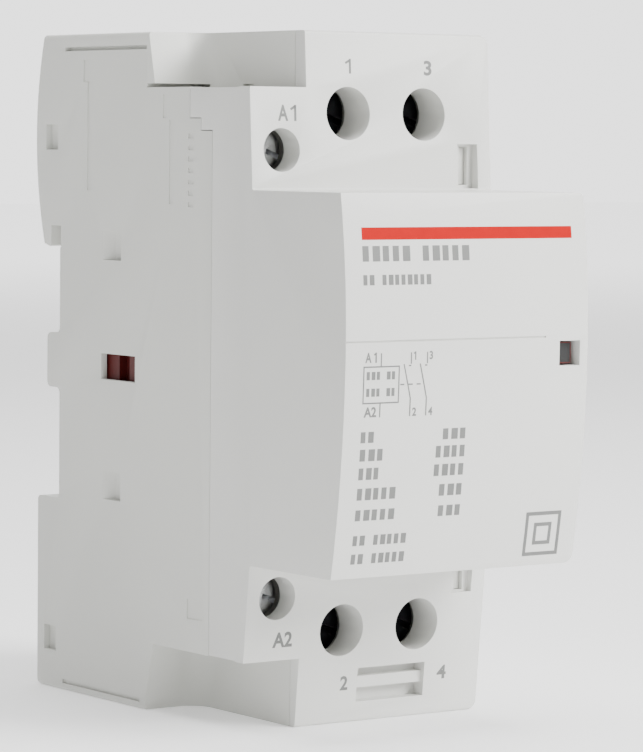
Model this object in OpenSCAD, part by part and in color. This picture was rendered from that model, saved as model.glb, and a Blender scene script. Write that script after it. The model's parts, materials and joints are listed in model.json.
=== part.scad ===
// DIN rail contactor, two poles in two modules: casing, clip, magnet, moving contacts and screw terminals.
// X runs across the width, -Y points to the front, +Z is up.
// The origin is the middle of the rail seat, on the rail's centreline.

/* [Casing] */
// Width of the casing, two modules
body_w = 36; // [36:0.1:36.6]
// Height of the rear flange and of the terminal blocks
body_h = 85; // [84.8:0.1:85.4]
// Upper edge of the casing above the rail's centreline
body_top = 42.2; // [42.2:0.1:42.5]
// Wall thickness of both casing halves
wall = 1.6; // [1.5:0.05:1.7]
// Gap of the parting line between the casing halves
seam_gap = 0.1; // [0.05:0.05:0.15]
// Depth from the rail seat to the terminal faces, beside the nose
shoulder_depth = 44.3; // [44.2:0.1:44.8]
// Depth from the rail seat to the nose's crown
nose_depth = 63.8; // [63.6:0.1:64.4]
// Height of the nose
nose_h = 45.1; // [45:0.1:45.3]
// Upper edge of the nose above the rail's centreline
nose_top = 22.9; // [22.8:0.1:23]

/* [Rail seat] */
// Width of the mounting rail
rail_w = 35; // [34.8:0.1:35.2]
// Depth of the lower rear foot behind the rail seat
foot_depth = 5.3; // [5.2:0.1:5.6]
// Travel of the clip from locked to released
clip_travel = 3.5; // [3:0.1:3.5]
// Width of the clip
clip_w = 16; // [15:0.5:16]

/* [Magnet] */
// Travel of the armature and carrier
travel = 3.8; // [3.4:0.1:3.8]
// Height of the core and the armature
core_h = 36; // [35.8:0.1:36]
// Thickness of the lamination stack
core_stack = 14; // [13.6:0.1:14]
// Thickness of the armature
armature_t = 5; // [4.8:0.1:5]

/* [Contacts] */
// Centres of the two poles across the width
pole_x = [-3.65, 7.8];
// Open gap between the contact tips
contact_gap = 3; // [2.8:0.1:3]
// Radius of the contact tips
tip_r = 2.4; // [2.2:0.1:2.5]

/* [Terminals] */
// Height of the upper main screws above the rail's centreline
main_top_z = 32.2; // [32:0.1:32.4]
// Height of the lower main screws
main_bottom_z = -31.1; // [-31.3:0.1:-31]
// Height of the upper coil screw
coil_top_z = 27.7; // [27.5:0.1:27.8]
// Height of the lower coil screw
coil_bottom_z = -26.5; // [-26.6:0.1:-26.4]
// Radius of the main screwdriver holes
main_hole_r = 3.25; // [3.2:0.05:3.3]
// Radius of the coil screwdriver holes
coil_hole_r = 2.65; // [2.6:0.05:2.7]
// Radius of the main wire entries
main_wire_r = 2.85; // [2.7:0.05:2.9]
// Radius of the coil wire entries
coil_wire_r = 1.6; // [1.5:0.05:1.65]
// Travel of a main cage from open to clamped
main_cage_travel = 3; // [2.4:0.1:3]
// Travel of a coil cage from open to clamped
coil_cage_travel = 1.75; // [1.4:0.05:1.75]

/* [Hidden] */
$fn = 64;

// Casing outline
half_w = body_w / 2;
body_bottom = body_top - body_h;
nose_bottom = nose_top - nose_h;
inner_x = half_w - wall;
over = 1;
shoulder_top_y = 1.1 - shoulder_depth;
shoulder_bottom_y = 2 - shoulder_depth;
nose_crown_z = 6;
nose_upper_r = 110;
nose_lower_r = 155;
side_corner_r = 1.3;
nose_corner_r = 1.2;
fine_corner_r = 0.5;

// Steps for the coil terminals, on the left of the casing
step_x = -9.8;
step_top_z = 35.3;
step_bottom_z = -34.2;
flange_top_y = -22.7;
flange_top_lean = 13;
flange_bottom_y = -23;
flange_bottom_lean = 14.5;
flange_fillet_r = 3;
flange_wall_y = -19.5;

// Rail seat and rear feet
seat_wall_y = -2;
rail_edge_z = rail_w / 2;
hook_slot_y = 2.2;
hook_lip_z = 14.8;
seat_relief = 0.2;
notch_bottom_z = -17.8;
spine_y = 3.1;
spine_z = [-3.4, 3.7];
upper_foot_r = 46.5;
upper_foot_centre = [-40.5, 29];
upper_foot_y = 6.5;

// Parting line: rear half behind these planes, front half before them
seam_y = -35.5;
front_plate_y = -41.2;
seam_step_y = [-33, -30.5];
seam_step_z = [29.95, 31.45];

// Side window and the pocket that the carrier's arms slide in
window_y = [-18.3, -10.2];
window_z = [-1.7, 1.6];
arm_pocket_x = 17.1;
arm_pocket_z = 4.4;
arm_x = [14.9, 16.9];
arm_z = 4;
arm_end_y = -8.2;
lug_slot_y = [-15.3, -12.9];

// Magnet
pad_t = 1.2;
core_back_y = seat_wall_y - pad_t;
yoke_t = 6;
pole_face_y = -24.2;
centre_leg_h = 10;
outer_leg_h = 5;
closed_gap = 0.2;
armature_rear_y = pole_face_y - closed_gap - travel;
armature_front_y = armature_rear_y - armature_t;
ring_slot_w = 1;
ring_slot_depth = 1.6;
ring_wire = 0.9;
spring_seat = [11, 15.8];
boss_end_y = -13;
pin_r = 1.5;
pin_y = armature_rear_y - 2.5;

// Coil
bobbin_y = [-23.9, -9.5];
bobbin_flange_t = 1;
bobbin_half = [13.2, 12.6];
bobbin_tube = [8.2, 6.2];
bobbin_hole = [7.3, 5.3];
winding_half = [12.4, 11.9];
winding_r = 3;

// Carrier
plate_y = [-37.2, -33.3];
plate_half = [13.3, 19];
spine_half_z = 4.2;
spine_x = [pole_x[0] - 4.7, pole_x[1] + 4.7];
spine_front_y = -54.5;
bridge_w = 6.4;
bridge_t = 1.4;
bridge_half_z = 12.2;
tip_z = 9.5;
tip_t = 0.8;
bar_run_y = [-41, -39.6];
bridge_rear_y = bar_run_y[0] - tip_t - contact_gap - tip_t;
bridge_front_y = bridge_rear_y - bridge_t;
window_rear_y = bridge_rear_y + 0.1;
window_front_y = -52.5;

// Latch arms, upper and lower, and the gap round them
latch_x = [13.9, 15.1];
latch_z = [[23.6, 28.2], [-27.2, -22.8]];
latch_gap = 0.06;

// State flag behind the window in the nose
flag_x = [13.85, 16.2];
flag_z = [2.3, 4.9];
flag_front_y = -62.75;

// Marker recess: its sides, the face of its bar, the floor and the edges of its two slots
marker_x = [-0.8, 9.5];
marker_bar_y = -42.2;
marker_floor_y = -40.7;
marker_z = [-40.3, -38.6, -37.2, -36.05];

// Contact block
block_y = [-39.5, -37.5];
block_half = [16.1, 22.2];
barrier_x = [[-9.7, -8.7], [1.6, 2.6]];
barrier_front_y = -56;

// Main terminals, in the order 1, 3, 2, 4
shelf_y = [-36, -34.8];
cage_half_x = 4.3;
cage_half_z = 4.2;
cage_clear = 0.8;
cage_y = [shelf_y[1] + cage_clear + main_cage_travel, -19.5];
cage_window_y = [-28.6, -20.9];
cage_wall_x = 1.1;
tongue_y = [-28.1, -26.7];
tongue_w = 5.6;
riser_z = [22.6, 24];
main_wire_y = -23.8;
main_tube_end_y = -38.4;
main_head_y = [-37.8, -36.1];
main_head_r = 3.75;
main_shelf_hole_r = 3.2;
main_thread_r = 2.45;
thread_clearance = 0.08;

// Coil terminals, in the order A1, A2
coil_x = -13.6;
coil_shelf_y = [-37.6, -36.6];
coil_cage_half_x = 2.5;
coil_cage_half_z = 3.2;
coil_cage_clear = 1.85;
coil_cage_y = [coil_shelf_y[1] + coil_cage_clear + coil_cage_travel, -25.5];
coil_window_y = [-31.2, -26.5];
coil_cage_wall_x = 0.7;
coil_tongue_y = [-30.7, -29.9];
coil_wire_y = -28.2;
coil_tube_end_y = -40.6;
coil_head_y = [-40, -37.8];
coil_head_r = 2.75;
coil_shelf_hole_r = 2.3;
coil_thread_r = 1.7;

// Clip channel in the lower foot
channel_y = [0.6, 4.4];
clip_y = [0.9, 4.1];
clip_gap = 0.3;
release_clear = 1.1;
clip_z = [-42.5, clip_travel - rail_edge_z - release_clear];
clip_hook_y = 1.3;
clip_lug_z = [-35.2, -33.2];
clip_window_z = [clip_lug_z[0] - clip_gap, -23.5];
clip_window_half = 2;
channel_lip_x = 6.3;

light_grey = [0.84, 0.84, 0.82];
side_grey = [0.78, 0.78, 0.75];
block_grey = [0.35, 0.36, 0.37];
carrier_red = [0.62, 0.05, 0.04];
steel = [0.62, 0.63, 0.65];
zinc = [0.72, 0.73, 0.74];
brass = [0.8, 0.65, 0.3];
copper = [0.75, 0.42, 0.25];
silver = [0.85, 0.85, 0.86];

// A box between two limits on each axis
module box(x, y, z) {
    translate([x[0], y[0], z[0]])
        cube([x[1] - x[0], y[1] - y[0], z[1] - z[0]]);
}

// A cylinder along Y between two depths
module rod_y(r, y, x, z) {
    translate([x, y[0], z])
        rotate([-90, 0, 0])
            cylinder(r = r, h = y[1] - y[0]);
}

// A cylinder along X between two sides
module rod_x(r, x, y, z) {
    translate([x[0], y, z])
        rotate([0, 90, 0])
            cylinder(r = r, h = x[1] - x[0]);
}

// An outline in Y and Z, extruded across X
module side_prism(x) {
    translate([x[0], 0, 0])
        rotate([90, 0, 90])
            linear_extrude(x[1] - x[0])
                children();
}

// A rectangle with round corners
module round_rect(half, r) {
    square([2 * half[0] - 2 * r, 2 * half[1]], center = true);
    square([2 * half[0], 2 * half[1] - 2 * r], center = true);
    for (sx = [-1, 1], sz = [-1, 1])
        translate([sx * (half[0] - r), sz * (half[1] - r)])
            circle(r);
}

function unit(v) = v / norm(v);

// Points of a round corner of radius r at q, between the neighbours p and s
function corner(p, q, s, r, steps = 6) =
    let (
        u = unit(p - q),
        v = unit(s - q),
        half = acos(u * v) / 2,
        c = q + unit(u + v) * r / sin(half),
        a = q + u * r / tan(half) - c,
        b = q + v * r / tan(half) - c,
        start = atan2(a[1], a[0]),
        turn = (atan2(b[1], b[0]) - start + 540) % 360 - 180
    )
    [for (i = [0:steps]) c + r * [cos(start + turn * i / steps), sin(start + turn * i / steps)]];

// An outline from points [a, b, r], where r rounds that corner
function rounded(pts) =
    let (n = len(pts), at = function(i) [pts[(i + n) % n][0], pts[(i + n) % n][1]])
    [for (i = [0:n - 1]) each pts[i][2] > 0 ? corner(at(i - 1), at(i), at(i + 1), pts[i][2]) : [at(i)]];

// A spring of round wire along +Z, with one closed turn at each end
module coil_spring(radius, wire, length, turns) {
    sides = 8;
    per_turn = 16;
    rings = turns * per_turn;
    pitch = (length - 3 * wire) / (turns - 2);
    function lift(t) = wire / 2 + (t < 1 ? wire * t
        : t > turns - 1 ? length - 2 * wire + wire * (t - turns + 1)
        : wire + pitch * (t - 1));
    points = [for (i = [0:rings], k = [0:sides - 1])
        let (turn = 360 * i / per_turn, a = 360 * k / sides, reach = radius + wire / 2 * cos(a))
        [reach * cos(turn), reach * sin(turn), lift(i / per_turn) + wire / 2 * sin(a)]];
    walls = [for (i = [0:rings - 1], k = [0:sides - 1])
        let (a = i * sides + k, b = i * sides + (k + 1) % sides)
        each [[a, b, b + sides], [a, b + sides, a + sides]]];
    caps = [[for (k = [sides - 1:-1:0]) k], [for (k = [0:sides - 1]) rings * sides + k]];
    polyhedron(points, concat(walls, caps));
}

// A round wire of one thickness along a route of points
module wire_along(route, r) {
    sides = 8;
    last = len(route) - 1;
    function heading(i) = unit(route[min(i + 1, last)] - route[max(i - 1, 0)]);
    function side_of(d) = unit(cross(d, abs(d[0]) < 0.9 ? [1, 0, 0] : [0, 1, 0]));
    points = [for (i = [0:last], k = [0:sides - 1])
        let (d = heading(i), u = side_of(d), v = cross(d, u), a = 360 * k / sides)
        route[i] + r * (cos(a) * u + sin(a) * v)];
    walls = [for (i = [0:last - 1], k = [0:sides - 1])
        let (a = i * sides + k, b = i * sides + (k + 1) % sides)
        each [[a, a + sides, b + sides], [a, b + sides, b]]];
    caps = [[for (k = [0:sides - 1]) k], [for (k = [sides - 1:-1:0]) last * sides + k]];
    polyhedron(points, concat(walls, caps));
}

// ---- Casing ----

// Side outline of the whole casing, from the lower foot round the rail seat and over the nose
casing_outline = rounded([
    [foot_depth, body_bottom, 0.9],
    [foot_depth, notch_bottom_z, 0.6],
    [0, notch_bottom_z, 0.6],
    [0, spine_z[0], 0.8],
    [spine_y, spine_z[0], 0.8],
    [spine_y, spine_z[1], 0.8],
    [0, spine_z[1], 0.8],
    [0, hook_lip_z, 0],
    [-seat_relief, hook_lip_z, 0],
    [-seat_relief, rail_edge_z + 0.1, 0],
    [hook_slot_y, rail_edge_z + 0.1, 0],
    [hook_slot_y, hook_lip_z, 0.3],
    [4.2, hook_lip_z + 0.5, 0],
    [upper_foot_y, hook_lip_z + 1, 0],
    [upper_foot_y, body_top, 0],
    [shoulder_top_y, body_top, 0.4],
    [-shoulder_depth, nose_top, 0.3],
    [-nose_depth - over, nose_top, 0],
    [-nose_depth - over, nose_bottom, 0],
    [-shoulder_depth, nose_bottom, 0.3],
    [shoulder_bottom_y, body_bottom, 0.4]
]);

// Removes what stands outside a long edge's round corner, for an edge along Y
module edge_cut(x, z, sx, sz, r, y) {
    translate([x, y[1], z])
        rotate([90, 0, 0])
            linear_extrude(y[1] - y[0])
                difference() {
                    translate([sx > 0 ? -r : -over, sz > 0 ? -r : -over])
                        square(r + over);
                    translate([-sx * r, -sz * r])
                        circle(r);
                }
}

// The space beyond a coil terminal's step, with a round corner against the leaning flange
module step_cut(front_y, z, side, lean) {
    reach = half_w + step_x + 2 * over;
    intersection() {
        box([-half_w - over, step_x], [-nose_depth, 0], side > 0 ? [z, body_top + over] : [body_bottom - over, z]);
        translate([0, front_y, z])
            mirror([0, 0, side > 0 ? 0 : 1])
                rotate([-lean, 0, 0])
                    translate([0, 0, -body_h / 8])
                        linear_extrude(body_h / 3) {
                            translate([step_x - reach, -nose_depth])
                                square([reach, nose_depth - flange_fillet_r]);
                            translate([step_x - reach, -nose_depth])
                                square([reach - flange_fillet_r, nose_depth]);
                            translate([step_x - flange_fillet_r, -flange_fillet_r])
                                circle(flange_fillet_r);
                        }
    }
}

// Keeps the nose behind its two curves, and the upper foot behind its own
module curve_cuts() {
    crown_y = -nose_depth;
    difference() {
        box([-half_w - over, half_w + over], [crown_y - 2 * over, crown_y + 4], [nose_crown_z, nose_top + over]);
        rod_x(nose_upper_r, [-half_w - 2 * over, half_w + 2 * over], crown_y + nose_upper_r, nose_crown_z, $fn = 360);
    }
    difference() {
        box([-half_w - over, half_w + over], [crown_y - 2 * over, crown_y + 4], [nose_bottom - over, nose_crown_z]);
        rod_x(nose_lower_r, [-half_w - 2 * over, half_w + 2 * over], crown_y + nose_lower_r, nose_crown_z, $fn = 360);
    }
    difference() {
        box([-half_w - over, half_w + over], [2.5, upper_foot_y + over], [hook_lip_z, body_top + over]);
        rod_x(upper_foot_r, [-half_w - 2 * over, half_w + 2 * over], upper_foot_centre[0], upper_foot_centre[1], $fn = 360);
    }
}

module casing_outer() {
    difference() {
        side_prism([-half_w, half_w])
            polygon(casing_outline);
        curve_cuts();
        step_cut(flange_top_y, step_top_z, 1, flange_top_lean);
        step_cut(flange_bottom_y, step_bottom_z, -1, flange_bottom_lean);
        edge_cut(half_w, body_top, 1, 1, side_corner_r, [-nose_depth, 10]);
        edge_cut(half_w, body_bottom, 1, -1, side_corner_r, [-nose_depth, 10]);
        edge_cut(-half_w, body_top, -1, 1, fine_corner_r, [flange_top_y - 2, 10]);
        edge_cut(-half_w, body_bottom, -1, -1, fine_corner_r, [flange_bottom_y - 2, 10]);
        edge_cut(half_w, nose_top, 1, 1, fine_corner_r, [-nose_depth - over, -shoulder_depth - 0.3]);
        edge_cut(half_w, nose_bottom, 1, -1, nose_corner_r, [-nose_depth - over, -shoulder_depth - 0.3]);
    }
}

module casing_cavity() {
    block_z = [step_bottom_z + wall, step_top_z - wall];
    raised_z = [body_bottom + wall, body_top - wall];
    box([-inner_x, inner_x], [front_plate_y, seat_wall_y], block_z);
    box([step_x + wall, inner_x], [front_plate_y, seat_wall_y], raised_z);
    box([-inner_x, step_x + wall + over], [flange_wall_y, seat_wall_y], raised_z);
    box([-inner_x, inner_x], [seat_wall_y - over, 3.2], [19.4, raised_z[1]]);
    for (s = [-1, 1])
        box(s > 0 ? [10.2, inner_x] : [-inner_x, -10.2], [seat_wall_y - over, foot_depth - wall], [raised_z[0], -19.4]);
    side_prism([-inner_x, inner_x])
        polygon([
            [front_plate_y + over, nose_top - wall],
            [2.9 - nose_depth, nose_top - wall],
            [1.6 - nose_depth, nose_crown_z],
            [4.2 - nose_depth, nose_bottom + wall],
            [front_plate_y + over, nose_bottom + wall]
        ]);
}

// The rear side of the parting line; g is how far the front half stands off it
module rear_region(g) {
    side_prism([-half_w - over, half_w + over])
        polygon([
            [upper_foot_y + 2, body_top + over],
            [front_plate_y - g, body_top + over],
            [front_plate_y - g, step_top_z - g],
            [seam_step_y[1] - g, step_top_z - g],
            [seam_step_y[1] - g, seam_step_z[1] + g],
            [seam_step_y[0] - g, seam_step_z[1] + g],
            [seam_step_y[0] - g, seam_step_z[0] + g],
            [seam_y - g, seam_step_z[0] + g],
            [seam_y - g, step_bottom_z + g],
            [front_plate_y - g, step_bottom_z + g],
            [front_plate_y - g, body_bottom - over],
            [upper_foot_y + 2, body_bottom - over]
        ]);
}

// A shallow pocket with a ramp at its rear end, in the left side
module ramp_pocket(y, ramp_y, z) {
    translate([0, 0, z[0]])
        linear_extrude(z[1] - z[0])
            polygon([
                [-half_w - over, y[1]], [-half_w, y[1]], [-half_w + 1, ramp_y],
                [-half_w + 1, y[0]], [-half_w - over, y[0]]
            ]);
}

// A wire entry along Z with a funnel mouth; out is 1 for the top and -1 for the bottom
module wire_entry(x, y, z, r, out) {
    mouth = 0.7;
    translate([x, y, z])
        mirror([0, 0, out > 0 ? 0 : 1]) {
            translate([0, 0, -6])
                cylinder(r = r, h = 6 + over);
            translate([0, 0, -mouth])
                cylinder(r1 = r, r2 = r + mouth + 0.1, h = mouth + 0.1);
        }
}

// Marks and hollows that the moulding leaves in the left side
module side_details() {
    groove_t = 0.5;
    for (z = [27.4, -37.9])
        box([-half_w - over, -half_w + 0.9], [0.6, 3.6], [z, z + 3.25]);
    ramp_pocket([-14.85, -10.5], -12, [13.5, 17.2]);
    ramp_pocket([-15, -10.9], -12.3, [-17, -13.4]);
    box([-half_w - over, -half_w + 0.8], [-20.6, -1], [40.05, 40.05 + groove_t]);
    box([-half_w - over, -half_w + 0.3], [-19.8, -1.1], [-41.9, -41.9 + groove_t]);
    shallow = 0.12;
    box([-half_w - over, -half_w + shallow], [-7.6, -6.6], [22.3, 36.4]);
    box([-half_w - over, -half_w + shallow], [-6.9, -5.6], [36.1, 38.9]);
    box([-half_w - over, -half_w + shallow], [-26.9, -25.9], [20.9, 31.3]);
    box([-half_w - over, -half_w + shallow], [-25.4, -24.4], [31.5, 34.4]);
    for (i = [0:6])
        box([-half_w - over, -half_w + shallow], [-31.4, -30.2], [20.6 + 1.4 * i, 21.2 + 1.4 * i]);
    box([-half_w - over, -half_w + shallow], [-34, -30.6], [-30.1, -27.7]);
}

// The dark slots at the foot of the flange and of the raised block, above the upper coil terminal
module foot_slots() {
    slot_h = 0.5;
    box([-half_w - over, step_x], [flange_top_y - over, flange_top_y + 2], [step_top_z, step_top_z + slot_h]);
    box([step_x - over, step_x + 0.7], [-32.3, -30], [step_top_z, step_top_z + slot_h]);
}

// The channel in the lower foot that the clip slides in
module clip_channel() {
    half = clip_w / 2 + clip_gap;
    z = [body_bottom - over, notch_bottom_z + over];
    box([-half, half], channel_y, z);
    box([-channel_lip_x, channel_lip_x], [channel_y[1] - over, foot_depth + over], z);
}

// Seats, posts and dividers inside the rear half
module base_inside() {
    // Pocket of the fixed core
    for (s = [-1, 1])
        box([-core_stack / 2, core_stack / 2], [-12, seat_wall_y],
            s > 0 ? [core_h / 2 + 0.2, core_h / 2 + 1.4] : [-core_h / 2 - 1.4, -core_h / 2 - 0.2]);
    // Seats of the return springs
    for (s = [-1, 1]) {
        rod_y(2.6, [boss_end_y, seat_wall_y], s * spring_seat[0], s * spring_seat[1]);
        rod_y(1.2, [boss_end_y - 4, boss_end_y + over], s * spring_seat[0], s * spring_seat[1]);
    }
    // Chambers of the main terminals, their shelves hold the screw heads
    for (z = [[25, body_top - wall], [body_bottom + wall, -25]])
        for (x = [[1.6, 2.55], [12.6, 13.6]])
            box(x, [shelf_y[0], seat_wall_y], z);
    for (z = [[27, body_top - wall], [body_bottom + wall, -26]])
        box([step_x + wall, 13.6], shelf_y, z);
    // Sleeves of the main wire entries
    for (x = pole_x) {
        translate([x, main_wire_y, body_top - 3.4])
            cylinder(r = main_wire_r + 1.2, h = 2);
        translate([x, main_wire_y, body_bottom + 1.4])
            cylinder(r = main_wire_r + 1.2, h = 2);
    }
    // Chambers of the coil terminals
    for (z = [[23.6, step_top_z - wall], [step_bottom_z + wall, -22.6]]) {
        box([-9.6, -8.8], [coil_shelf_y[0], -20], z);
        box([-inner_x + 0.2, -8.8], coil_shelf_y, z);
    }
    translate([coil_x, coil_wire_y, step_top_z - 2.9])
        cylinder(r = coil_wire_r + 0.9, h = 1.5);
    translate([coil_x, coil_wire_y, step_bottom_z + 1.4])
        cylinder(r = coil_wire_r + 0.9, h = 1.5);
    // Latch arms that hold the front half
    for (z = latch_z) {
        box(latch_x, [-42.4, -24], z);
        box([latch_x[0], inner_x + 0.2], [-30, -24], z);
    }
}

module base_holes() {
    for (x = pole_x) {
        wire_entry(x, main_wire_y, body_top, main_wire_r, 1);
        wire_entry(x, main_wire_y, body_bottom, main_wire_r, -1);
        for (z = [main_top_z, main_bottom_z])
            rod_y(main_shelf_hole_r, [shelf_y[0] - over, shelf_y[1] + over], x, z);
    }
    wire_entry(coil_x, coil_wire_y, step_top_z, coil_wire_r, 1);
    wire_entry(coil_x, coil_wire_y, step_bottom_z, coil_wire_r, -1);
    for (z = [coil_top_z, coil_bottom_z])
        rod_y(coil_shelf_hole_r, [coil_shelf_y[0] - over, coil_shelf_y[1] + over], coil_x, z);
}

module base_housing() {
    color(side_grey)
        difference() {
            union() {
                difference() {
                    intersection() {
                        casing_outer();
                        rear_region(0);
                    }
                    casing_cavity();
                    for (s = [-1, 1])
                        box(s > 0 ? [inner_x - over, arm_pocket_x] : [-arm_pocket_x, -inner_x + over],
                            [seam_y - over, arm_end_y + travel + 0.6], [-arm_pocket_z, arm_pocket_z]);
                    box([-half_w - over, -inner_x], window_y, window_z);
                    side_details();
                    foot_slots();
                    clip_channel();
                }
                base_inside();
                // Stop for the clip's spring
                box([-1.6, 1.6], [channel_y[0] - 0.2, clip_y[1] - 0.3], clip_lug_z);
            }
            base_holes();
        }
}

// A hollow in the terminal face beside the nose, with the slit for a latch arm in its floor
module latch_window(z, arm_z) {
    box([12.9, 16], [-shoulder_depth - over, -shoulder_depth + 1.3], z);
    box([latch_x[0] - latch_gap, latch_x[1] + latch_gap], [-shoulder_depth - over, front_plate_y + over],
        [arm_z[0] - latch_gap, arm_z[1] + latch_gap]);
}

module front_cover() {
    color(light_grey)
        difference() {
            union() {
                difference() {
                    intersection() {
                        casing_outer();
                        box([-half_w - over, half_w + over], [-nose_depth - over, seam_step_y[1]],
                            [body_bottom - over, body_top + over]);
                    }
                    rear_region(seam_gap);
                    casing_cavity();
                    for (s = [-1, 1])
                        box(s > 0 ? [inner_x - over, arm_pocket_x] : [-arm_pocket_x, -inner_x + over],
                            [plate_y[0] - 0.6, seam_y + over], [-arm_pocket_z, arm_pocket_z]);
                }
                // Block behind the marker recess
                box([-1.8, 10.5], [front_plate_y - 0.2, -39.3], [-41, -35.4]);
                // Sleeves behind the screwdriver holes
                for (x = pole_x, z = [main_top_z, main_bottom_z])
                    rod_y(main_hole_r + 1.2, [front_plate_y - 0.6, main_tube_end_y], x, z);
                for (z = [coil_top_z, coil_bottom_z])
                    rod_y(coil_hole_r + 0.75, [front_plate_y - 0.6, coil_tube_end_y], coil_x + 0.5, z);
            }
            for (x = pole_x, z = [main_top_z, main_bottom_z])
                rod_y(main_hole_r, [-shoulder_depth - over, main_tube_end_y + over], x, z);
            for (z = [coil_top_z, coil_bottom_z])
                rod_y(coil_hole_r, [-shoulder_depth - over, coil_tube_end_y + over], coil_x, z);
            latch_window([23.1, 28.6], latch_z[0]);
            latch_window([-27.5, nose_bottom - 0.2], latch_z[1]);
            // Marker recess between the lower terminals, with a slot above and below its bar
            box(marker_x, [-shoulder_depth, marker_bar_y], [marker_z[0], marker_z[3]]);
            for (i = [0, 2])
                box(marker_x, [-shoulder_depth, marker_floor_y], [marker_z[i], marker_z[i + 1]]);
            // State window and the fine line across the nose
            box([13.65, 16.8], [-nose_depth - over, 3 - nose_depth], [2.1, 5.1]);
            box([-half_w - over, 11.5], [-nose_depth - over, 0.14 - nose_depth], [5.55, 5.75]);
        }
}

module contact_block() {
    color(block_grey)
        difference() {
            union() {
                box([-block_half[0], block_half[0]], block_y, [-block_half[1], block_half[1]]);
                for (x = barrier_x, z = [[4.8, 20.4], [-20, -4.8]])
                    box(x, [barrier_front_y, block_y[1]], z);
            }
            box([spine_x[0] - 0.3, spine_x[1] + 0.3], [block_y[0] - over, block_y[1] + over],
                [-spine_half_z - 0.3, spine_half_z + 0.3]);
        }
}

// ---- Clip ----

module din_clip() {
    half = clip_w / 2;
    slot_half = 2.5;
    color(side_grey)
        difference() {
            union() {
                box([-half, half], clip_y, [clip_z[0], notch_bottom_z]);
                box([-half, half], [clip_hook_y, clip_y[1]], [notch_bottom_z - over, clip_z[1]]);
            }
            // Lead-in that lets the rail push the clip down
            translate([0, clip_hook_y, clip_z[1]])
                rotate([45, 0, 0])
                    box([-half - over, half + over], [-1, 1], [-1, 1]);
            box([-clip_window_half, clip_window_half], [clip_y[0] - over, clip_y[1] + over], clip_window_z);
            box([-slot_half, slot_half], [clip_y[0] - over, clip_y[1] + over], [-41.2, -39.4]);
        }
}

module din_clip_spring() {
    end_gap = 0.05;
    color(steel)
        translate([0, (clip_y[0] + clip_y[1]) / 2, clip_lug_z[1] + end_gap])
            coil_spring(1.25, 0.5, clip_window_z[1] - clip_lug_z[1] - 2 * end_gap, 8);
}

// ---- Magnet ----

module core_pads() {
    color([0.1, 0.1, 0.1])
        for (s = [-1, 1])
            box([-6, 6], [core_back_y, seat_wall_y], s > 0 ? [6, 16.5] : [-16.5, -6]);
}

module fixed_core() {
    half = core_h / 2;
    color(steel)
        difference() {
            union() {
                box([-core_stack / 2, core_stack / 2], [core_back_y - yoke_t, core_back_y], [-half, half]);
                box([-core_stack / 2, core_stack / 2], [pole_face_y, core_back_y - over],
                    [-centre_leg_h / 2, centre_leg_h / 2]);
                for (s = [-1, 1])
                    box([-core_stack / 2, core_stack / 2], [pole_face_y, core_back_y - over],
                        s > 0 ? [half - outer_leg_h, half] : [-half, outer_leg_h - half]);
            }
            for (s = [-1, 1])
                box([-half_w, half_w], [pole_face_y - over, pole_face_y + ring_slot_depth],
                    s > 0 ? [15.2, 15.2 + ring_slot_w] : [-15.2 - ring_slot_w, -15.2]);
        }
}

module shading_rings() {
    y = [pole_face_y + 0.05, pole_face_y + 0.05 + ring_wire];
    color(copper)
        for (s = [-1, 1])
            mirror([0, 0, s > 0 ? 0 : 1])
                difference() {
                    box([-8.2, 8.2], y, [15.25, 19.1]);
                    box([-7.15, 7.15], [y[0] - over, y[1] + over], [15.25 + ring_wire, 19.1 - ring_wire]);
                }
}

module coil_bobbin() {
    color([0.88, 0.86, 0.78])
        difference() {
            union() {
                box([-bobbin_tube[0], bobbin_tube[0]], bobbin_y, [-bobbin_tube[1], bobbin_tube[1]]);
                for (y = [bobbin_y[0], bobbin_y[1] - bobbin_flange_t])
                    box([-bobbin_half[0], bobbin_half[0]], [y, y + bobbin_flange_t], [-bobbin_half[1], bobbin_half[1]]);
            }
            box([-bobbin_hole[0], bobbin_hole[0]], [bobbin_y[0] - over, bobbin_y[1] + over],
                [-bobbin_hole[1], bobbin_hole[1]]);
        }
}

module coil_winding() {
    y = [bobbin_y[0] + bobbin_flange_t, bobbin_y[1] - bobbin_flange_t];
    color(copper)
        difference() {
            translate([0, y[1], 0])
                rotate([90, 0, 0])
                    linear_extrude(y[1] - y[0])
                        round_rect(winding_half, winding_r);
            box([-bobbin_tube[0], bobbin_tube[0]], [y[0] - over, y[1] + over], [-bobbin_tube[1], bobbin_tube[1]]);
        }
}

// A lead from the winding out to a coil terminal's strip; side is 1 above and -1 below
module coil_lead(side) {
    r = 0.4;
    wire_along([for (p = [
        [-12.9, -21.5, 8.8], [-13.6, -21.5, 10], [-14.3, -21.6, 12], [-14.5, -22, 15],
        [-14.3, -22.8, 18], [-13.9, -24.5, 20], [-13.6, -26.8, 20.7], [-13.6, coil_tongue_y[1], 20.7]
    ]) [p[0], p[1], side * p[2]]], r);
}

module coil_lead_a1() {
    color(copper) coil_lead(1);
}

module coil_lead_a2() {
    color(copper) coil_lead(-1);
}

// The strip that carries a coil terminal's tongue
module coil_terminal(z, side) {
    inner = side * 20;
    outer = z + side * 2.8;
    box([coil_x - 1.4, coil_x + 1.4], coil_tongue_y, [min(inner, outer), max(inner, outer)]);
}

module coil_terminal_a1() {
    color(brass) coil_terminal(coil_top_z, 1);
}

module coil_terminal_a2() {
    color(brass) coil_terminal(coil_bottom_z, -1);
}

module armature() {
    half = core_h / 2;
    chamfer = 0.6;
    color(steel)
        difference() {
            side_prism([-core_stack / 2, core_stack / 2])
                polygon([
                    [armature_rear_y, -half + chamfer], [armature_rear_y, half - chamfer],
                    [armature_rear_y - chamfer, half], [armature_front_y, half],
                    [armature_front_y, -half], [armature_rear_y - chamfer, -half]
                ]);
            rod_x(pin_r + 0.05, [-half_w, half_w], pin_y, 0);
        }
}

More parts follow.
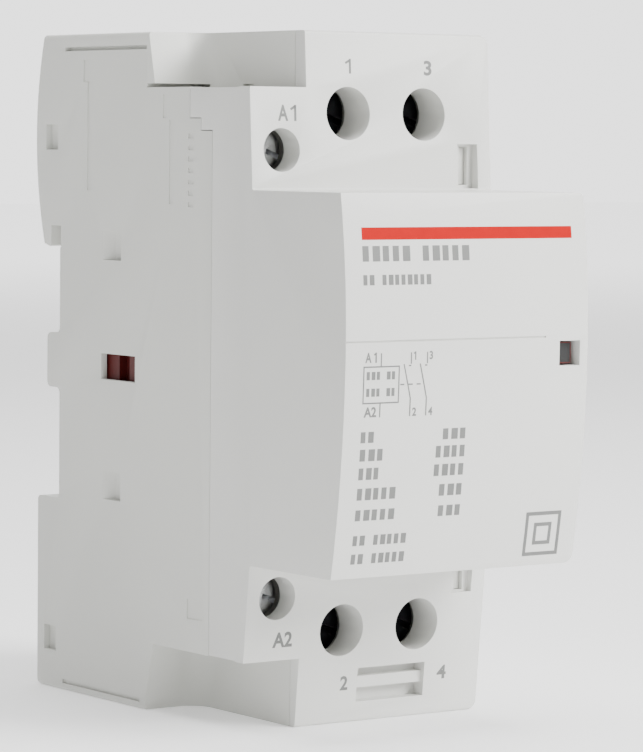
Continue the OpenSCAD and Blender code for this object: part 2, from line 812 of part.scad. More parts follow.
module armature_pin() {
    color(zinc)
        rod_x(pin_r, [-8.9, 8.9], pin_y, 0);
}

// ---- Carrier and contacts ----

module contact_carrier() {
    color(carrier_red)
        difference() {
            union() {
                // Armature seat with its cheeks
                box([-plate_half[0], plate_half[0]], plate_y, [-plate_half[1], plate_half[1]]);
                for (s = [-1, 1])
                    box(s > 0 ? [7.3, 9] : [-9, -7.3], [plate_y[0] + over, armature_rear_y - 0.8], [-4, 4]);
                // Arms beside the coil
                for (s = [-1, 1]) {
                    box(s > 0 ? arm_x : [-arm_x[1], -arm_x[0]], [plate_y[0], arm_end_y], [-arm_z, arm_z]);
                    box(s > 0 ? [plate_half[0] - over, arm_x[1]] : [-arm_x[1], over - plate_half[0]],
                        plate_y, [-arm_z, arm_z]);
                }
                // Stem that holds the bridges
                box(spine_x, [spine_front_y, plate_y[0] + over], [-spine_half_z, spine_half_z]);
                // State flag
                box([spine_x[1] - over, flag_x[1]], [spine_front_y, spine_front_y + 2], flag_z);
                box(flag_x, [flag_front_y, spine_front_y + over], flag_z);
            }
            rod_x(pin_r + 0.05, [-10, 10], pin_y, 0);
            for (x = pole_x)
                box([x - bridge_w / 2 - 0.3, x + bridge_w / 2 + 0.3], [window_front_y, window_rear_y],
                    [-spine_half_z - over, spine_half_z + over]);
            // Coupling slot seen in the side window
            box([-arm_x[1] - over, -arm_x[1] + 1.1], lug_slot_y, [-arm_z - over, arm_z + over]);
        }
}

module return_springs() {
    color(steel)
        for (s = [-1, 1])
            translate([s * spring_seat[0], boss_end_y - 0.05, s * spring_seat[1]])
                rotate([90, 0, 0])
                    coil_spring(1.85, 0.55, boss_end_y - plate_y[1] - 0.1, 10);
}

module bridge(x) {
    chamfer = 1.2;
    translate([x, bridge_rear_y, 0])
        rotate([90, 0, 0])
            linear_extrude(bridge_t)
                polygon([for (s = [1, -1]) each [
                    [-s * (bridge_w / 2 - chamfer), s * bridge_half_z],
                    [s * (bridge_w / 2 - chamfer), s * bridge_half_z],
                    [s * bridge_w / 2, s * (bridge_half_z - chamfer)]
                ], [-bridge_w / 2, bridge_half_z - chamfer]]);
}

module bridge_left() {
    color(copper) bridge(pole_x[0]);
}

module bridge_right() {
    color(copper) bridge(pole_x[1]);
}

module bridge_tips(x) {
    for (z = [-tip_z, tip_z])
        rod_y(tip_r, [bridge_rear_y, bridge_rear_y + tip_t], x, z);
}

module bridge_tips_left() {
    color(silver) bridge_tips(pole_x[0]);
}

module bridge_tips_right() {
    color(silver) bridge_tips(pole_x[1]);
}

module contact_spring(x) {
    translate([x, bridge_front_y - 0.05, 0])
        rotate([90, 0, 0])
            coil_spring(1.9, 0.5, bridge_front_y - window_front_y - 0.1, 5);
}

module contact_spring_left() {
    color(steel) contact_spring(pole_x[0]);
}

module contact_spring_right() {
    color(steel) contact_spring(pole_x[1]);
}

// ---- Terminals ----

// A bar from the tongue in the cage, forward and in to the contact tip
module terminal_bar(x, z, side) {
    tongue_end = abs(z) + cage_half_z - 0.4;
    mirror([0, 0, side > 0 ? 0 : 1]) {
        box([x - tongue_w / 2, x + tongue_w / 2], tongue_y, [riser_z[0], tongue_end]);
        side_prism([x - bridge_w / 2, x + bridge_w / 2])
            polygon([
                [tongue_y[1], riser_z[0]], [tongue_y[1], riser_z[1]],
                [bar_run_y[0], riser_z[1]], [bar_run_y[0], tip_z - 3.1],
                [bar_run_y[1], tip_z - 3.1], [bar_run_y[1], riser_z[0]]
            ]);
    }
}

module terminal_bar_1() {
    color(brass) terminal_bar(pole_x[0], main_top_z, 1);
}

module terminal_bar_3() {
    color(brass) terminal_bar(pole_x[1], main_top_z, 1);
}

module terminal_bar_2() {
    color(brass) terminal_bar(pole_x[0], main_bottom_z, -1);
}

module terminal_bar_4() {
    color(brass) terminal_bar(pole_x[1], main_bottom_z, -1);
}

module fixed_tips() {
    color(silver)
        for (x = pole_x, z = [-tip_z, tip_z])
            rod_y(tip_r, [bar_run_y[0] - tip_t, bar_run_y[0]], x, z);
}

// A cage round the tongue, with the screw's thread in its front wall
module cage(x, z, half, y, window, side_wall, thread_r) {
    difference() {
        box([x - half[0], x + half[0]], y, [z - half[1], z + half[1]]);
        box([x - half[0] + side_wall, x + half[0] - side_wall], window, [z - half[1] - over, z + half[1] + over]);
        rod_y(thread_r + thread_clearance, [y[0] - over, window[0] + over], x, z);
    }
}

module main_cage(x, z) {
    color(zinc)
        cage(x, z, [cage_half_x, cage_half_z], cage_y, cage_window_y, cage_wall_x, main_thread_r);
}

module cage_1() {
    main_cage(pole_x[0], main_top_z);
}

module cage_3() {
    main_cage(pole_x[1], main_top_z);
}

module cage_2() {
    main_cage(pole_x[0], main_bottom_z);
}

module cage_4() {
    main_cage(pole_x[1], main_bottom_z);
}

module coil_cage(z) {
    color(zinc)
        cage(coil_x, z, [coil_cage_half_x, coil_cage_half_z], coil_cage_y, coil_window_y,
            coil_cage_wall_x, coil_thread_r);
}

module coil_cage_a1() {
    coil_cage(coil_top_z);
}

module coil_cage_a2() {
    coil_cage(coil_bottom_z);
}

// A screw with a cross recess, its head towards the front
module terminal_screw(x, z, head_y, head_r, thread_r, tip_y) {
    recess_w = head_r * 0.3;
    recess_half = head_r * 0.66;
    recess_depth = (head_y[1] - head_y[0]) * 0.7;
    color(zinc)
        difference() {
            union() {
                rod_y(head_r, head_y, x, z);
                rod_y(thread_r, [head_y[1] - 0.1, tip_y], x, z);
            }
            translate([x, head_y[0], z])
                for (turn = [20, 110])
                    rotate([0, turn, 0])
                        box([-recess_half, recess_half], [-over, recess_depth], [-recess_w / 2, recess_w / 2]);
        }
}

module main_screw(x, z) {
    terminal_screw(x, z, main_head_y, main_head_r, main_thread_r, tongue_y[0] - 0.3);
}

module screw_1() {
    main_screw(pole_x[0], main_top_z);
}

module screw_3() {
    main_screw(pole_x[1], main_top_z);
}

module screw_2() {
    main_screw(pole_x[0], main_bottom_z);
}

module screw_4() {
    main_screw(pole_x[1], main_bottom_z);
}

module coil_screw(z) {
    terminal_screw(coil_x, z, coil_head_y, coil_head_r, coil_thread_r, coil_tongue_y[0] - 0.2);
}

module coil_screw_a1() {
    coil_screw(coil_top_z);
}

module coil_screw_a2() {
    coil_screw(coil_bottom_z);
}

base_housing();
front_cover();
contact_block();
din_clip();
din_clip_spring();
core_pads();
fixed_core();
shading_rings();
coil_bobbin();
coil_winding();
coil_lead_a1();
coil_lead_a2();
coil_terminal_a1();
coil_terminal_a2();
armature();
armature_pin();
contact_carrier();
return_springs();
bridge_left();
bridge_right();
bridge_tips_left();
bridge_tips_right();
contact_spring_left();
contact_spring_right();
terminal_bar_1();
terminal_bar_3();
terminal_bar_2();
terminal_bar_4();
fixed_tips();
cage_1();
cage_3();
cage_2();
cage_4();
coil_cage_a1();
coil_cage_a2();
screw_1();
screw_3();
screw_2();
screw_4();
coil_screw_a1();
coil_screw_a2();
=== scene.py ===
"""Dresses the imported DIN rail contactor: casings, terminals, clip, magnet, contacts and printing.

Lengths are in millimetres and become metres where a mesh, a light or the camera is made.
X runs across the width, -Y points to the front and +Z is up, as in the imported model.
"""

import json
import logging
import math
from collections.abc import Callable, Sequence
from dataclasses import dataclass, field
from enum import Enum

import bmesh
import bpy
from mathutils import Matrix, Vector

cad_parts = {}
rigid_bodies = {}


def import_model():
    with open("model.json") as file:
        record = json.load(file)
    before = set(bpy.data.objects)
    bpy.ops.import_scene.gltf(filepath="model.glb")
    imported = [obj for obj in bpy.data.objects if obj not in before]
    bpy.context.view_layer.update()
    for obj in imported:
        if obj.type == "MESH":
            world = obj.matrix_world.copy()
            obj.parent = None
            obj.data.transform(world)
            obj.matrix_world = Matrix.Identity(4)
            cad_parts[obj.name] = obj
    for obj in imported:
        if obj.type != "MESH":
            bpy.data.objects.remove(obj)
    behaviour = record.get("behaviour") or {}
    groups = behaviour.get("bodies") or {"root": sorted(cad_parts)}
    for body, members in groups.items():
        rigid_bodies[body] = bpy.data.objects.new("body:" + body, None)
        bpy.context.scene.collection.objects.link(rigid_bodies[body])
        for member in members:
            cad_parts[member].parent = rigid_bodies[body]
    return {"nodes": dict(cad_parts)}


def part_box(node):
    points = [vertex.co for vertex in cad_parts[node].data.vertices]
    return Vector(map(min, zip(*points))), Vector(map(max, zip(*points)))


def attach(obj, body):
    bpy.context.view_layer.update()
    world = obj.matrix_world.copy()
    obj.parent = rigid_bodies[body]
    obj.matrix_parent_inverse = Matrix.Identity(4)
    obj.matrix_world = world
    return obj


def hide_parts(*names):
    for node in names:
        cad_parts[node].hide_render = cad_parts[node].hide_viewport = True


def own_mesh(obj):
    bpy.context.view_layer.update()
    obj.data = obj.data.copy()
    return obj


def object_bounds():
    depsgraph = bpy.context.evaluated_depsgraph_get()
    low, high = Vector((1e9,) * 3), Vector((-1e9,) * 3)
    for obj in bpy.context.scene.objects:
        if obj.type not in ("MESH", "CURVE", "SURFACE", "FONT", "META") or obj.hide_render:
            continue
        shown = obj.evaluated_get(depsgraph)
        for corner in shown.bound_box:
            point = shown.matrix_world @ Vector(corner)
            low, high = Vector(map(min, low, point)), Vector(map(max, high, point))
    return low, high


for leftover in list(bpy.data.objects):
    bpy.data.objects.remove(leftover)

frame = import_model()
cad_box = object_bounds()

MM = 0.001
MERGE_MM = 0.002
FLAT_TURN = 1.0
SHARP_TURN = 35.0
log = logging.getLogger("contactor")

Colour = tuple[float, float, float]
Point = tuple[float, float, float]
Flat = tuple[float, float]


# ---------------------------------------------------------------- node graphs


class Graph:
    """Adds nodes to one node tree and links them."""

    def __init__(self, tree: bpy.types.NodeTree) -> None:
        """Takes the tree to build in."""
        self.tree = tree

    def node(self, kind: str, settings: dict | None = None, **inputs: object) -> bpy.types.Node:
        """Adds a node.

        Args:
            kind: The node's type name.
            settings: Properties to set on it.
            **inputs: A socket to link or a plain value, by input name with _ for a space,
                or by number as i0, i1 and so on.

        Returns:
            The new node.
        """
        made = self.tree.nodes.new(kind)
        for key, value in (settings or {}).items():
            setattr(made, key, value)
        for key, value in inputs.items():
            numbered = key[0] == "i" and key[1:].isdigit()
            socket = made.inputs[int(key[1:]) if numbered else key.replace("_", " ")]
            if isinstance(value, bpy.types.NodeSocket):
                self.tree.links.new(value, socket)
            else:
                socket.default_value = value
        return made

    def math(self, operation: str, a: object, b: object = 0.0, clamp: bool = False) -> bpy.types.NodeSocket:
        """Adds a Math node and returns its result.

        Args:
            operation: The Math operation.
            a: First value or socket.
            b: Second value or socket.
            clamp: Whether the result stays between 0 and 1.

        Returns:
            The result socket.
        """
        settings = {"operation": operation, "use_clamp": clamp}
        return self.node("ShaderNodeMath", settings, i0=a, i1=b).outputs[0]

    def swing(self, value: bpy.types.NodeSocket, amount: object) -> bpy.types.NodeSocket:
        """Returns how far a value around 0.5 is from it, times an amount."""
        return self.math("MULTIPLY", self.math("SUBTRACT", value, 0.5), amount)

    def blend(self, a: bpy.types.NodeSocket, b: bpy.types.NodeSocket, share: float) -> bpy.types.NodeSocket:
        """Returns the weighted mean of two values, where a has the share given."""
        return self.math("ADD", self.math("MULTIPLY", a, share), self.math("MULTIPLY", b, 1 - share))

    def vector(self, operation: str, a: object, **inputs: object) -> bpy.types.Node:
        """Adds a Vector Math node over a and the inputs given."""
        return self.node("ShaderNodeVectorMath", {"operation": operation}, i0=a, **inputs)

    def ramp(self, value: bpy.types.NodeSocket, before: Flat, after: Flat) -> bpy.types.NodeSocket:
        """Turns one range of a value smoothly into another.

        Args:
            value: The value.
            before: Where the range starts and ends.
            after: What those two ends become.

        Returns:
            The result socket.
        """
        made = self.node("ShaderNodeMapRange", {"interpolation_type": "SMOOTHSTEP"}, Value=value)
        for name, number in zip(("From Min", "From Max", "To Min", "To Max"), (*before, *after)):
            made.inputs[name].default_value = number
        return made.outputs["Result"]

    def mix(self, factor: object, a: object, b: object) -> bpy.types.NodeSocket:
        """Adds a colour Mix node and returns its result.

        Args:
            factor: Share of b.
            a: First colour or socket.
            b: Second colour or socket.

        Returns:
            The colour socket.
        """
        made = self.node("ShaderNodeMix", {"data_type": "RGBA"})
        for index, value in ((0, factor), (6, a), (7, b)):
            if isinstance(value, bpy.types.NodeSocket):
                self.tree.links.new(value, made.inputs[index])
            else:
                made.inputs[index].default_value = value
        return made.outputs[2]

    def place(self) -> bpy.types.NodeSocket:
        """Returns the surface point in the object's own coordinates, in millimetres."""
        coordinates = self.node("ShaderNodeTexCoord").outputs["Object"]
        return self.vector("SCALE", coordinates, Scale=1 / MM).outputs[0]

    def noise(
        self, place: bpy.types.NodeSocket, per_mm: object, detail: float = 2.0
    ) -> bpy.types.NodeSocket:
        """Returns a noise value around 0.5.

        Args:
            place: The point in millimetres.
            per_mm: Features per millimetre, a value or socket.
            detail: Octaves of detail.

        Returns:
            The value socket.
        """
        made = self.node("ShaderNodeTexNoise", None, Vector=place, Scale=per_mm, Detail=detail)
        return made.outputs[0]


def rgba(colour: Colour) -> tuple[float, float, float, float]:
    """Returns the colour with full alpha."""
    return (*colour, 1.0)


class EffectGroup:
    """A shader node group with named inputs and outputs, built once and reused."""

    def __init__(self, name: str, inputs: dict[str, float | Colour], outputs: dict[str, type]) -> None:
        """Makes the empty group.

        Args:
            name: The group's name.
            inputs: Input names with their defaults; a tuple makes a colour or vector socket.
            outputs: Output names, each float or tuple for a value or a colour.
        """
        self.tree = bpy.data.node_groups.new(name, "ShaderNodeTree")
        for key, value in inputs.items():
            kind = "NodeSocketFloat"
            if isinstance(value, tuple):
                kind = "NodeSocketVector" if key == "Axis" else "NodeSocketColor"
            socket = self.tree.interface.new_socket(key, in_out="INPUT", socket_type=kind)
            if isinstance(value, tuple) and kind == "NodeSocketColor":
                socket.default_value = rgba(value)
            else:
                socket.default_value = value
        for key, value in outputs.items():
            kind = "NodeSocketColor" if value is tuple else "NodeSocketFloat"
            self.tree.interface.new_socket(key, in_out="OUTPUT", socket_type=kind)
        self.graph = Graph(self.tree)
        self.inputs = self.graph.node("NodeGroupInput").outputs
        self.outputs = self.graph.node("NodeGroupOutput").inputs

    def give(self, **results: bpy.types.NodeSocket) -> None:
        """Links results to the outputs of the same names."""
        for key, socket in results.items():
            self.tree.links.new(socket, self.outputs[key])

    def put(self, graph: Graph, **inputs: object) -> dict[str, bpy.types.NodeSocket]:
        """Places the group in a material.

        Args:
            graph: The material's graph.
            **inputs: Values or sockets for the group's inputs, with _ for a space.

        Returns:
            The group's outputs by name.
        """
        placed = graph.node("ShaderNodeGroup", {"node_tree": self.tree}, **inputs)
        return {socket.name: socket for socket in placed.outputs}


def tone_drift() -> EffectGroup:
    """Builds slow and fine changes of tone, with a few dark specks."""
    group = EffectGroup(
        "Tone drift",
        {"Colour": (0.8, 0.8, 0.8), "Drift": 0.05, "Specks": 0.1, "Size": 12.0},
        {"Colour": tuple},
    )
    g = group.graph
    place = g.place()
    fine_per_mm, slow_share = 3.0, 0.75
    specks_per_mm, speck_reach, speck_tone = 1.3, 0.05, 0.6
    slow = g.noise(place, g.math("DIVIDE", 1.0, group.inputs["Size"]), 3.0)
    fine = g.noise(place, fine_per_mm)
    shift = g.swing(g.blend(slow, fine, slow_share), group.inputs["Drift"])
    value = g.math("ADD", 1.0, g.math("MULTIPLY", shift, 2.0))
    toned = g.vector("SCALE", group.inputs["Colour"], Scale=value).outputs[0]
    cells = g.node("ShaderNodeTexVoronoi", None, Vector=place, Scale=specks_per_mm).outputs["Distance"]
    speck = g.math("MULTIPLY", g.math("LESS_THAN", cells, speck_reach), group.inputs["Specks"])
    dark = g.vector("SCALE", toned, Scale=speck_tone).outputs[0]
    group.give(Colour=g.mix(speck, toned, dark))
    return group


def mould_grain() -> EffectGroup:
    """Builds the fine spark-eroded grain of a moulding: a height and a roughness."""
    group = EffectGroup(
        "Mould grain",
        {"Grain": 5.0, "Roughness": 0.5, "Spread": 0.1},
        {"Height": float, "Roughness": float},
    )
    g = group.graph
    place = g.place()
    waves_per_mm, patches_per_mm, pit_share = 0.25, 0.12, 0.85
    pits = g.noise(place, group.inputs["Grain"], 3.0)
    height = g.blend(pits, g.noise(place, waves_per_mm, 1.0), pit_share)
    patches = g.swing(g.noise(place, patches_per_mm, 3.0), group.inputs["Spread"])
    fine = g.swing(pits, group.inputs["Spread"])
    total = g.math("ADD", g.math("ADD", patches, fine), group.inputs["Roughness"], clamp=True)
    group.give(Height=height, Roughness=total)
    return group


def drawn_streaks() -> EffectGroup:
    """Builds streaks that run along one axis, as rolling, drawing or turning leaves them."""
    group = EffectGroup(
        "Drawn streaks",
        {"Axis": (1.0, 0.08, 1.0), "Fineness": 8.0, "Roughness": 0.3, "Spread": 0.15},
        {"Height": float, "Roughness": float},
    )
    g = group.graph
    place = g.place()
    blotches_per_mm, line_share = 0.5, 0.6
    stretched = g.vector("MULTIPLY", place, i1=group.inputs["Axis"]).outputs[0]
    lines = g.noise(stretched, group.inputs["Fineness"], 4.0)
    blotch = g.noise(place, blotches_per_mm, 3.0)
    spread = g.swing(g.blend(lines, blotch, line_share), group.inputs["Spread"])
    rough = g.math("ADD", g.math("MULTIPLY", spread, 2.0), group.inputs["Roughness"], clamp=True)
    group.give(Height=lines, Roughness=rough)
    return group


def even_bands() -> EffectGroup:
    """Builds rounded bands of one pitch along an axis, such as sheets in a stack."""
    group = EffectGroup(
        "Even bands",
        {"Axis": (1.0, 0.0, 0.0), "Pitch": 0.5, "Joint": 0.15},
        {"Height": float, "Mask": float},
    )
    g = group.graph
    squareness = 6.0
    along = g.vector("DOT_PRODUCT", g.place(), i1=group.inputs["Axis"])
    share = g.math("FRACT", g.math("DIVIDE", along.outputs["Value"], group.inputs["Pitch"]))
    centred = g.math("MULTIPLY", g.math("ABSOLUTE", g.math("SUBTRACT", share, 0.5)), 2.0)
    rounded = g.math("SUBTRACT", 1.0, g.math("POWER", centred, squareness))
    joint = g.math("GREATER_THAN", centred, g.math("SUBTRACT", 1.0, group.inputs["Joint"]))
    group.give(Height=rounded, Mask=joint)
    return group


def worn_edges() -> EffectGroup:
    """Builds a mask of convex edges, where plating rubs bright."""
    group = EffectGroup("Worn edges", {"Start": 0.53, "Width": 0.06}, {"Mask": float})
    g = group.graph
    point = g.node("ShaderNodeNewGeometry").outputs["Pointiness"]
    above = g.math("SUBTRACT", point, group.inputs["Start"])
    chips_per_mm, raggedness = 4.0, 1.6
    ragged = g.math("MULTIPLY", g.noise(g.place(), chips_per_mm), raggedness)
    rise = g.math("DIVIDE", above, group.inputs["Width"])
    group.give(Mask=g.math("MULTIPLY", rise, ragged, clamp=True))
    return group


@dataclass
class Effects:
    """The shared effect groups, built once."""

    tone: EffectGroup = field(default_factory=tone_drift)
    grain: EffectGroup = field(default_factory=mould_grain)
    streaks: EffectGroup = field(default_factory=drawn_streaks)
    bands: EffectGroup = field(default_factory=even_bands)
    edges: EffectGroup = field(default_factory=worn_edges)


# ------------------------------------------------------------------- finishes


def start_material(name: str) -> tuple[bpy.types.Material, Graph]:
    """Makes an empty node material.

    Args:
        name: The material's name.

    Returns:
        The material and the graph of its tree.
    """
    material = bpy.data.materials.new(name)
    material.use_nodes = True
    material.node_tree.nodes.clear()
    return material, Graph(material.node_tree)


def end_material(graph: Graph, height: bpy.types.NodeSocket, depth_mm: float, **inputs: object) -> None:
    """Adds the Principled shader, its bump and the output.

    Args:
        graph: The material's graph.
        height: Height socket of the bump.
        depth_mm: Depth of the bump.
        **inputs: Inputs of the Principled shader.
    """
    bump = graph.node("ShaderNodeBump", None, Strength=1.0, Distance=depth_mm * MM, Height=height)
    shader = graph.node("ShaderNodeBsdfPrincipled", None, Normal=bump.outputs[0], **inputs)
    graph.node("ShaderNodeOutputMaterial", None, Surface=shader.outputs[0])


@dataclass(frozen=True)
class Moulding:
    """A moulded plastic with a fine grain."""

    name: str
    colour: Colour
    roughness: float = 0.48
    spread: float = 0.1
    drift: float = 0.03
    specks: float = 0.12
    grain_per_mm: float = 6.0
    depth_mm: float = 0.006
    specular: float = 0.4
    subsurface: float = 0.0
    scatter_mm: float = 0.4

    def material(self, effects: Effects) -> bpy.types.Material:
        """Builds the material from the shared effects."""
        material, g = start_material(self.name)
        tone = effects.tone.put(g, Colour=rgba(self.colour), Drift=self.drift, Specks=self.specks)
        grain = effects.grain.put(g, Grain=self.grain_per_mm, Roughness=self.roughness, Spread=self.spread)
        end_material(
            g, grain["Height"], self.depth_mm,
            Base_Color=tone["Colour"], Roughness=grain["Roughness"], IOR=1.5,
            Specular_IOR_Level=self.specular, Subsurface_Weight=self.subsurface,
            Subsurface_Scale=self.scatter_mm * MM,
        )
        return material


@dataclass(frozen=True)
class Metal:
    """A bare or plated metal with streaks, and bright worn edges."""

    name: str
    colour: Colour
    edge_colour: Colour
    roughness: float = 0.3
    spread: float = 0.12
    drift: float = 0.12
    axis: Point = (1.0, 0.08, 1.0)
    fineness: float = 8.0
    depth_mm: float = 0.004
    coat: float = 0.0

    def material(self, effects: Effects) -> bpy.types.Material:
        """Builds the material from the shared effects."""
        material, g = start_material(self.name)
        tone = effects.tone.put(g, Colour=rgba(self.colour), Drift=self.drift, Specks=0.3, Size=2.5)
        streaks = effects.streaks.put(
            g, Axis=self.axis, Fineness=self.fineness, Roughness=self.roughness, Spread=self.spread
        )
        edge = effects.edges.put(g)["Mask"]
        end_material(
            g, streaks["Height"], self.depth_mm,
            Base_Color=g.mix(edge, tone["Colour"], rgba(self.edge_colour)),
            Roughness=streaks["Roughness"], Metallic=1.0, Coat_Weight=self.coat, Coat_Roughness=0.2,
        )
        return material


@dataclass(frozen=True)
class Stack:
    """Oiled electrical sheet in a stack, its joints across one axis."""

    name: str
    colour: Colour
    joint_colour: Colour
    axis: Point = (1.0, 0.0, 0.0)
    pitch_mm: float = 0.5
    depth_mm: float = 0.05
    roughness: float = 0.38

    def material(self, effects: Effects) -> bpy.types.Material:
        """Builds the material from the shared effects."""
        material, g = start_material(self.name)
        tone = effects.tone.put(g, Colour=rgba(self.colour), Drift=0.3, Specks=0.4, Size=3.0)
        bands = effects.bands.put(g, Axis=self.axis, Pitch=self.pitch_mm, Joint=0.2)
        streaks = effects.streaks.put(g, Axis=(0.1, 1.0, 1.0), Roughness=self.roughness, Spread=0.2)
        end_material(
            g, bands["Height"], self.depth_mm,
            Base_Color=g.mix(bands["Mask"], tone["Colour"], rgba(self.joint_colour)),
            Roughness=streaks["Roughness"], Metallic=0.85,
        )
        return material


@dataclass(frozen=True)
class Print:
    """Pad-printed ink, thin and a little uneven."""

    name: str
    colour: Colour
    roughness: float = 0.42
    specular: float = 0.35
    grain_per_mm: float = 7.0
    depth_mm: float = 0.004

    def material(self, effects: Effects) -> bpy.types.Material:
        """Builds the material from the shared effects."""
        material, g = start_material(self.name)
        tone = effects.tone.put(g, Colour=rgba(self.colour), Drift=0.12, Specks=0.05, Size=1.5)
        grain = effects.grain.put(g, Grain=self.grain_per_mm, Roughness=self.roughness, Spread=0.1)
        end_material(
            g, grain["Height"], self.depth_mm,
            Base_Color=tone["Colour"], Roughness=grain["Roughness"], Specular_IOR_Level=self.specular,
        )
        return material


class Finish(Enum):
    """Every finish on the object; the value is its material slot in the record, if it has one."""

    CASING_REAR = "casing_rear"
    CASING_FRONT = "casing_front"
    BLOCK = "contact_block"
    CLIP = "clip"
    CARRIER = "carrier_red"
    BOBBIN = "bobbin"
    SPRING = "spring_steel"
    LAMINATION = "lamination"
    COPPER = "copper"
    WINDING = "winding"
    BRASS = "brass"
    SILVER = "silver"
    ZINC = "zinc"
    # Steel screws made near-black as painted shade of the deep holes round the main screw heads.
    STEEL_DARKENED_AS_SHADE = "blackened_steel"
    RUBBER = "rubber"
    INK_GREY = "ink_grey"
    INK_RED = "ink_red"
    # Painted shade: black laid on the state flag where shadow falls, built like a print.
    PAINTED_SHADE_BLACK = "ink_black"


FINISHES: dict[Finish, Moulding | Metal | Stack | Print] = {
    Finish.CASING_REAR: Moulding(
        "Rear casing plastic", (0.64, 0.645, 0.61), roughness=0.46, grain_per_mm=5.0
    ),
    Finish.CASING_FRONT: Moulding(
        "Front casing plastic", (0.655, 0.657, 0.63), roughness=0.4, depth_mm=0.004
    ),
    Finish.BLOCK: Moulding("Glass filled moulding", (0.075, 0.08, 0.085), roughness=0.55, drift=0.3),
    Finish.CLIP: Moulding("Clip plastic", (0.62, 0.62, 0.585), roughness=0.5),
    Finish.CARRIER: Moulding("Carrier plastic", (0.075, 0.004, 0.003), roughness=0.5, drift=0.2, specks=0.2),
    Finish.BOBBIN: Moulding("Natural nylon", (0.66, 0.62, 0.5), roughness=0.42, subsurface=0.1),
    Finish.SPRING: Metal("Spring wire", (0.42, 0.42, 0.44), (0.7, 0.7, 0.72), roughness=0.28),
    Finish.LAMINATION: Stack("Electrical sheet", (0.2, 0.21, 0.23), (0.04, 0.04, 0.045)),
    Finish.COPPER: Metal("Bare copper", (0.72, 0.32, 0.17), (0.9, 0.5, 0.32), roughness=0.32, drift=0.25),
    Finish.WINDING: Metal("Enamelled wire", (0.45, 0.13, 0.045), (0.6, 0.2, 0.08), roughness=0.25, coat=0.7),
    Finish.BRASS: Metal("Rolled brass", (0.62, 0.44, 0.17), (0.85, 0.66, 0.35), axis=(1.0, 1.0, 0.08)),
    Finish.SILVER: Metal("Silver alloy", (0.72, 0.71, 0.69), (0.9, 0.9, 0.9), roughness=0.36),
    Finish.ZINC: Metal("Zinc plating", (0.5, 0.51, 0.52), (0.8, 0.8, 0.8), roughness=0.3, drift=0.25),
    # Painted shade: the main screw heads sit deep in their holes, and this near-black stands in for the
    # shadow there.
    Finish.STEEL_DARKENED_AS_SHADE: Metal("Steel darkened as painted shade", (0.02, 0.02, 0.022), (0.12, 0.12, 0.12), roughness=0.5),
    Finish.RUBBER: Moulding("Damper rubber", (0.012, 0.012, 0.012), roughness=0.75, drift=0.3, specks=0.0),
    Finish.INK_GREY: Print("Grey ink", (0.15, 0.153, 0.147)),
    # Not a real ink: painted shade on the front of the state flag.
    Finish.PAINTED_SHADE_BLACK: Print("Black painted shade", (0.012, 0.012, 0.012), roughness=0.5),
    Finish.INK_RED: Print("Red ink", (0.4, 0.0, 0.0), roughness=0.6, specular=0.1),
}


class Paint:
    """Builds each finish the first time it is asked for, and puts it on pieces."""

    def __init__(self) -> None:
        """Builds the shared effects."""
        self.effects = Effects()
        self.made: dict[Finish, bpy.types.Material] = {}

    def material(self, finish: Finish) -> bpy.types.Material:
        """Returns the material of a finish."""
        if finish not in self.made:
            self.made[finish] = FINISHES[finish].material(self.effects)
        return self.made[finish]

    def dress(self, piece: bpy.types.Object, finish: Finish) -> None:
        """Puts a finish in every material slot of a piece."""
        material = self.material(finish)
        if not piece.material_slots:
            piece.data.materials.append(material)
        for slot in piece.material_slots:
            slot.material = material


# ---------------------------------------------------------------- mesh pieces


def metres(point: Sequence[float]) -> Vector:
    """Returns a point given in millimetres, in metres."""
    return Vector(point) * MM


def object_from(name: str, bm: bmesh.types.BMesh, smooth_below: float = SHARP_TURN) -> bpy.types.Object:
    """Makes an object from a bmesh in metres, and frees the bmesh.

    Args:
        name: The object's name.
        bm: The geometry.
        smooth_below: Edges that turn by less than this many degrees are shaded smooth.

    Returns:
        The object, linked to the scene.
    """
    bmesh.ops.recalc_face_normals(bm, faces=bm.faces)
    for face in bm.faces:
        face.smooth = True
    least = math.radians(smooth_below)
    for edge in bm.edges:
        edge.smooth = len(edge.link_faces) == 2 and edge.calc_face_angle(0.0) < least
    mesh = bpy.data.meshes.new(name)
    bm.to_mesh(mesh)
    bm.free()
    piece = bpy.data.objects.new(name, mesh)
    bpy.context.scene.collection.objects.link(piece)
    return piece


def mesh_piece(
    name: str, points: Sequence[Sequence[float]], faces: Sequence[Sequence[int]]
) -> bpy.types.Object:
    """Makes an object from points in millimetres and faces."""
    bm = bmesh.new()
    corners = [bm.verts.new(metres(p)) for p in points]
    for face in faces:
        bm.faces.new([corners[i] for i in face])
    return object_from(name, bm)


def skin(rings: Sequence[Sequence[Sequence[float]]], closed: bool = False) -> tuple[list, list]:
    """Joins rings of points into a tube.

    Args:
        rings: Rings of equally many points.
        closed: Whether the last ring joins the first; otherwise both ends are capped.

    Returns:
        The points and the faces.
    """
    sides = len(rings[0])
    points = [p for ring in rings for p in ring]
    last = len(rings) if closed else len(rings) - 1
    faces = []
    for i in range(last):
        near, far = i * sides, (i + 1) % len(rings) * sides
        for k in range(sides):
            after = (k + 1) % sides
            faces.append((near + k, near + after, far + after, far + k))
    if not closed:
        faces.append(tuple(range(sides)))
        faces.append(tuple(range(len(points) - 1, len(points) - 1 - sides, -1)))
    return points, faces


def turn(points: Sequence[Sequence[float]], matrix: Matrix) -> list[Vector]:
    """Returns the points moved by a matrix."""
    return [matrix @ Vector(p) for p in points]


def apply_modifiers(piece: bpy.types.Object) -> None:
    """Replaces a piece's own mesh by what its modifiers make of it."""
    bpy.context.view_layer.update()
    made = piece.evaluated_get(bpy.context.evaluated_depsgraph_get())
    mesh = bpy.data.meshes.new_from_object(made)
    piece.modifiers.clear()
    old = piece.data
    piece.data = mesh
    bpy.data.meshes.remove(old)


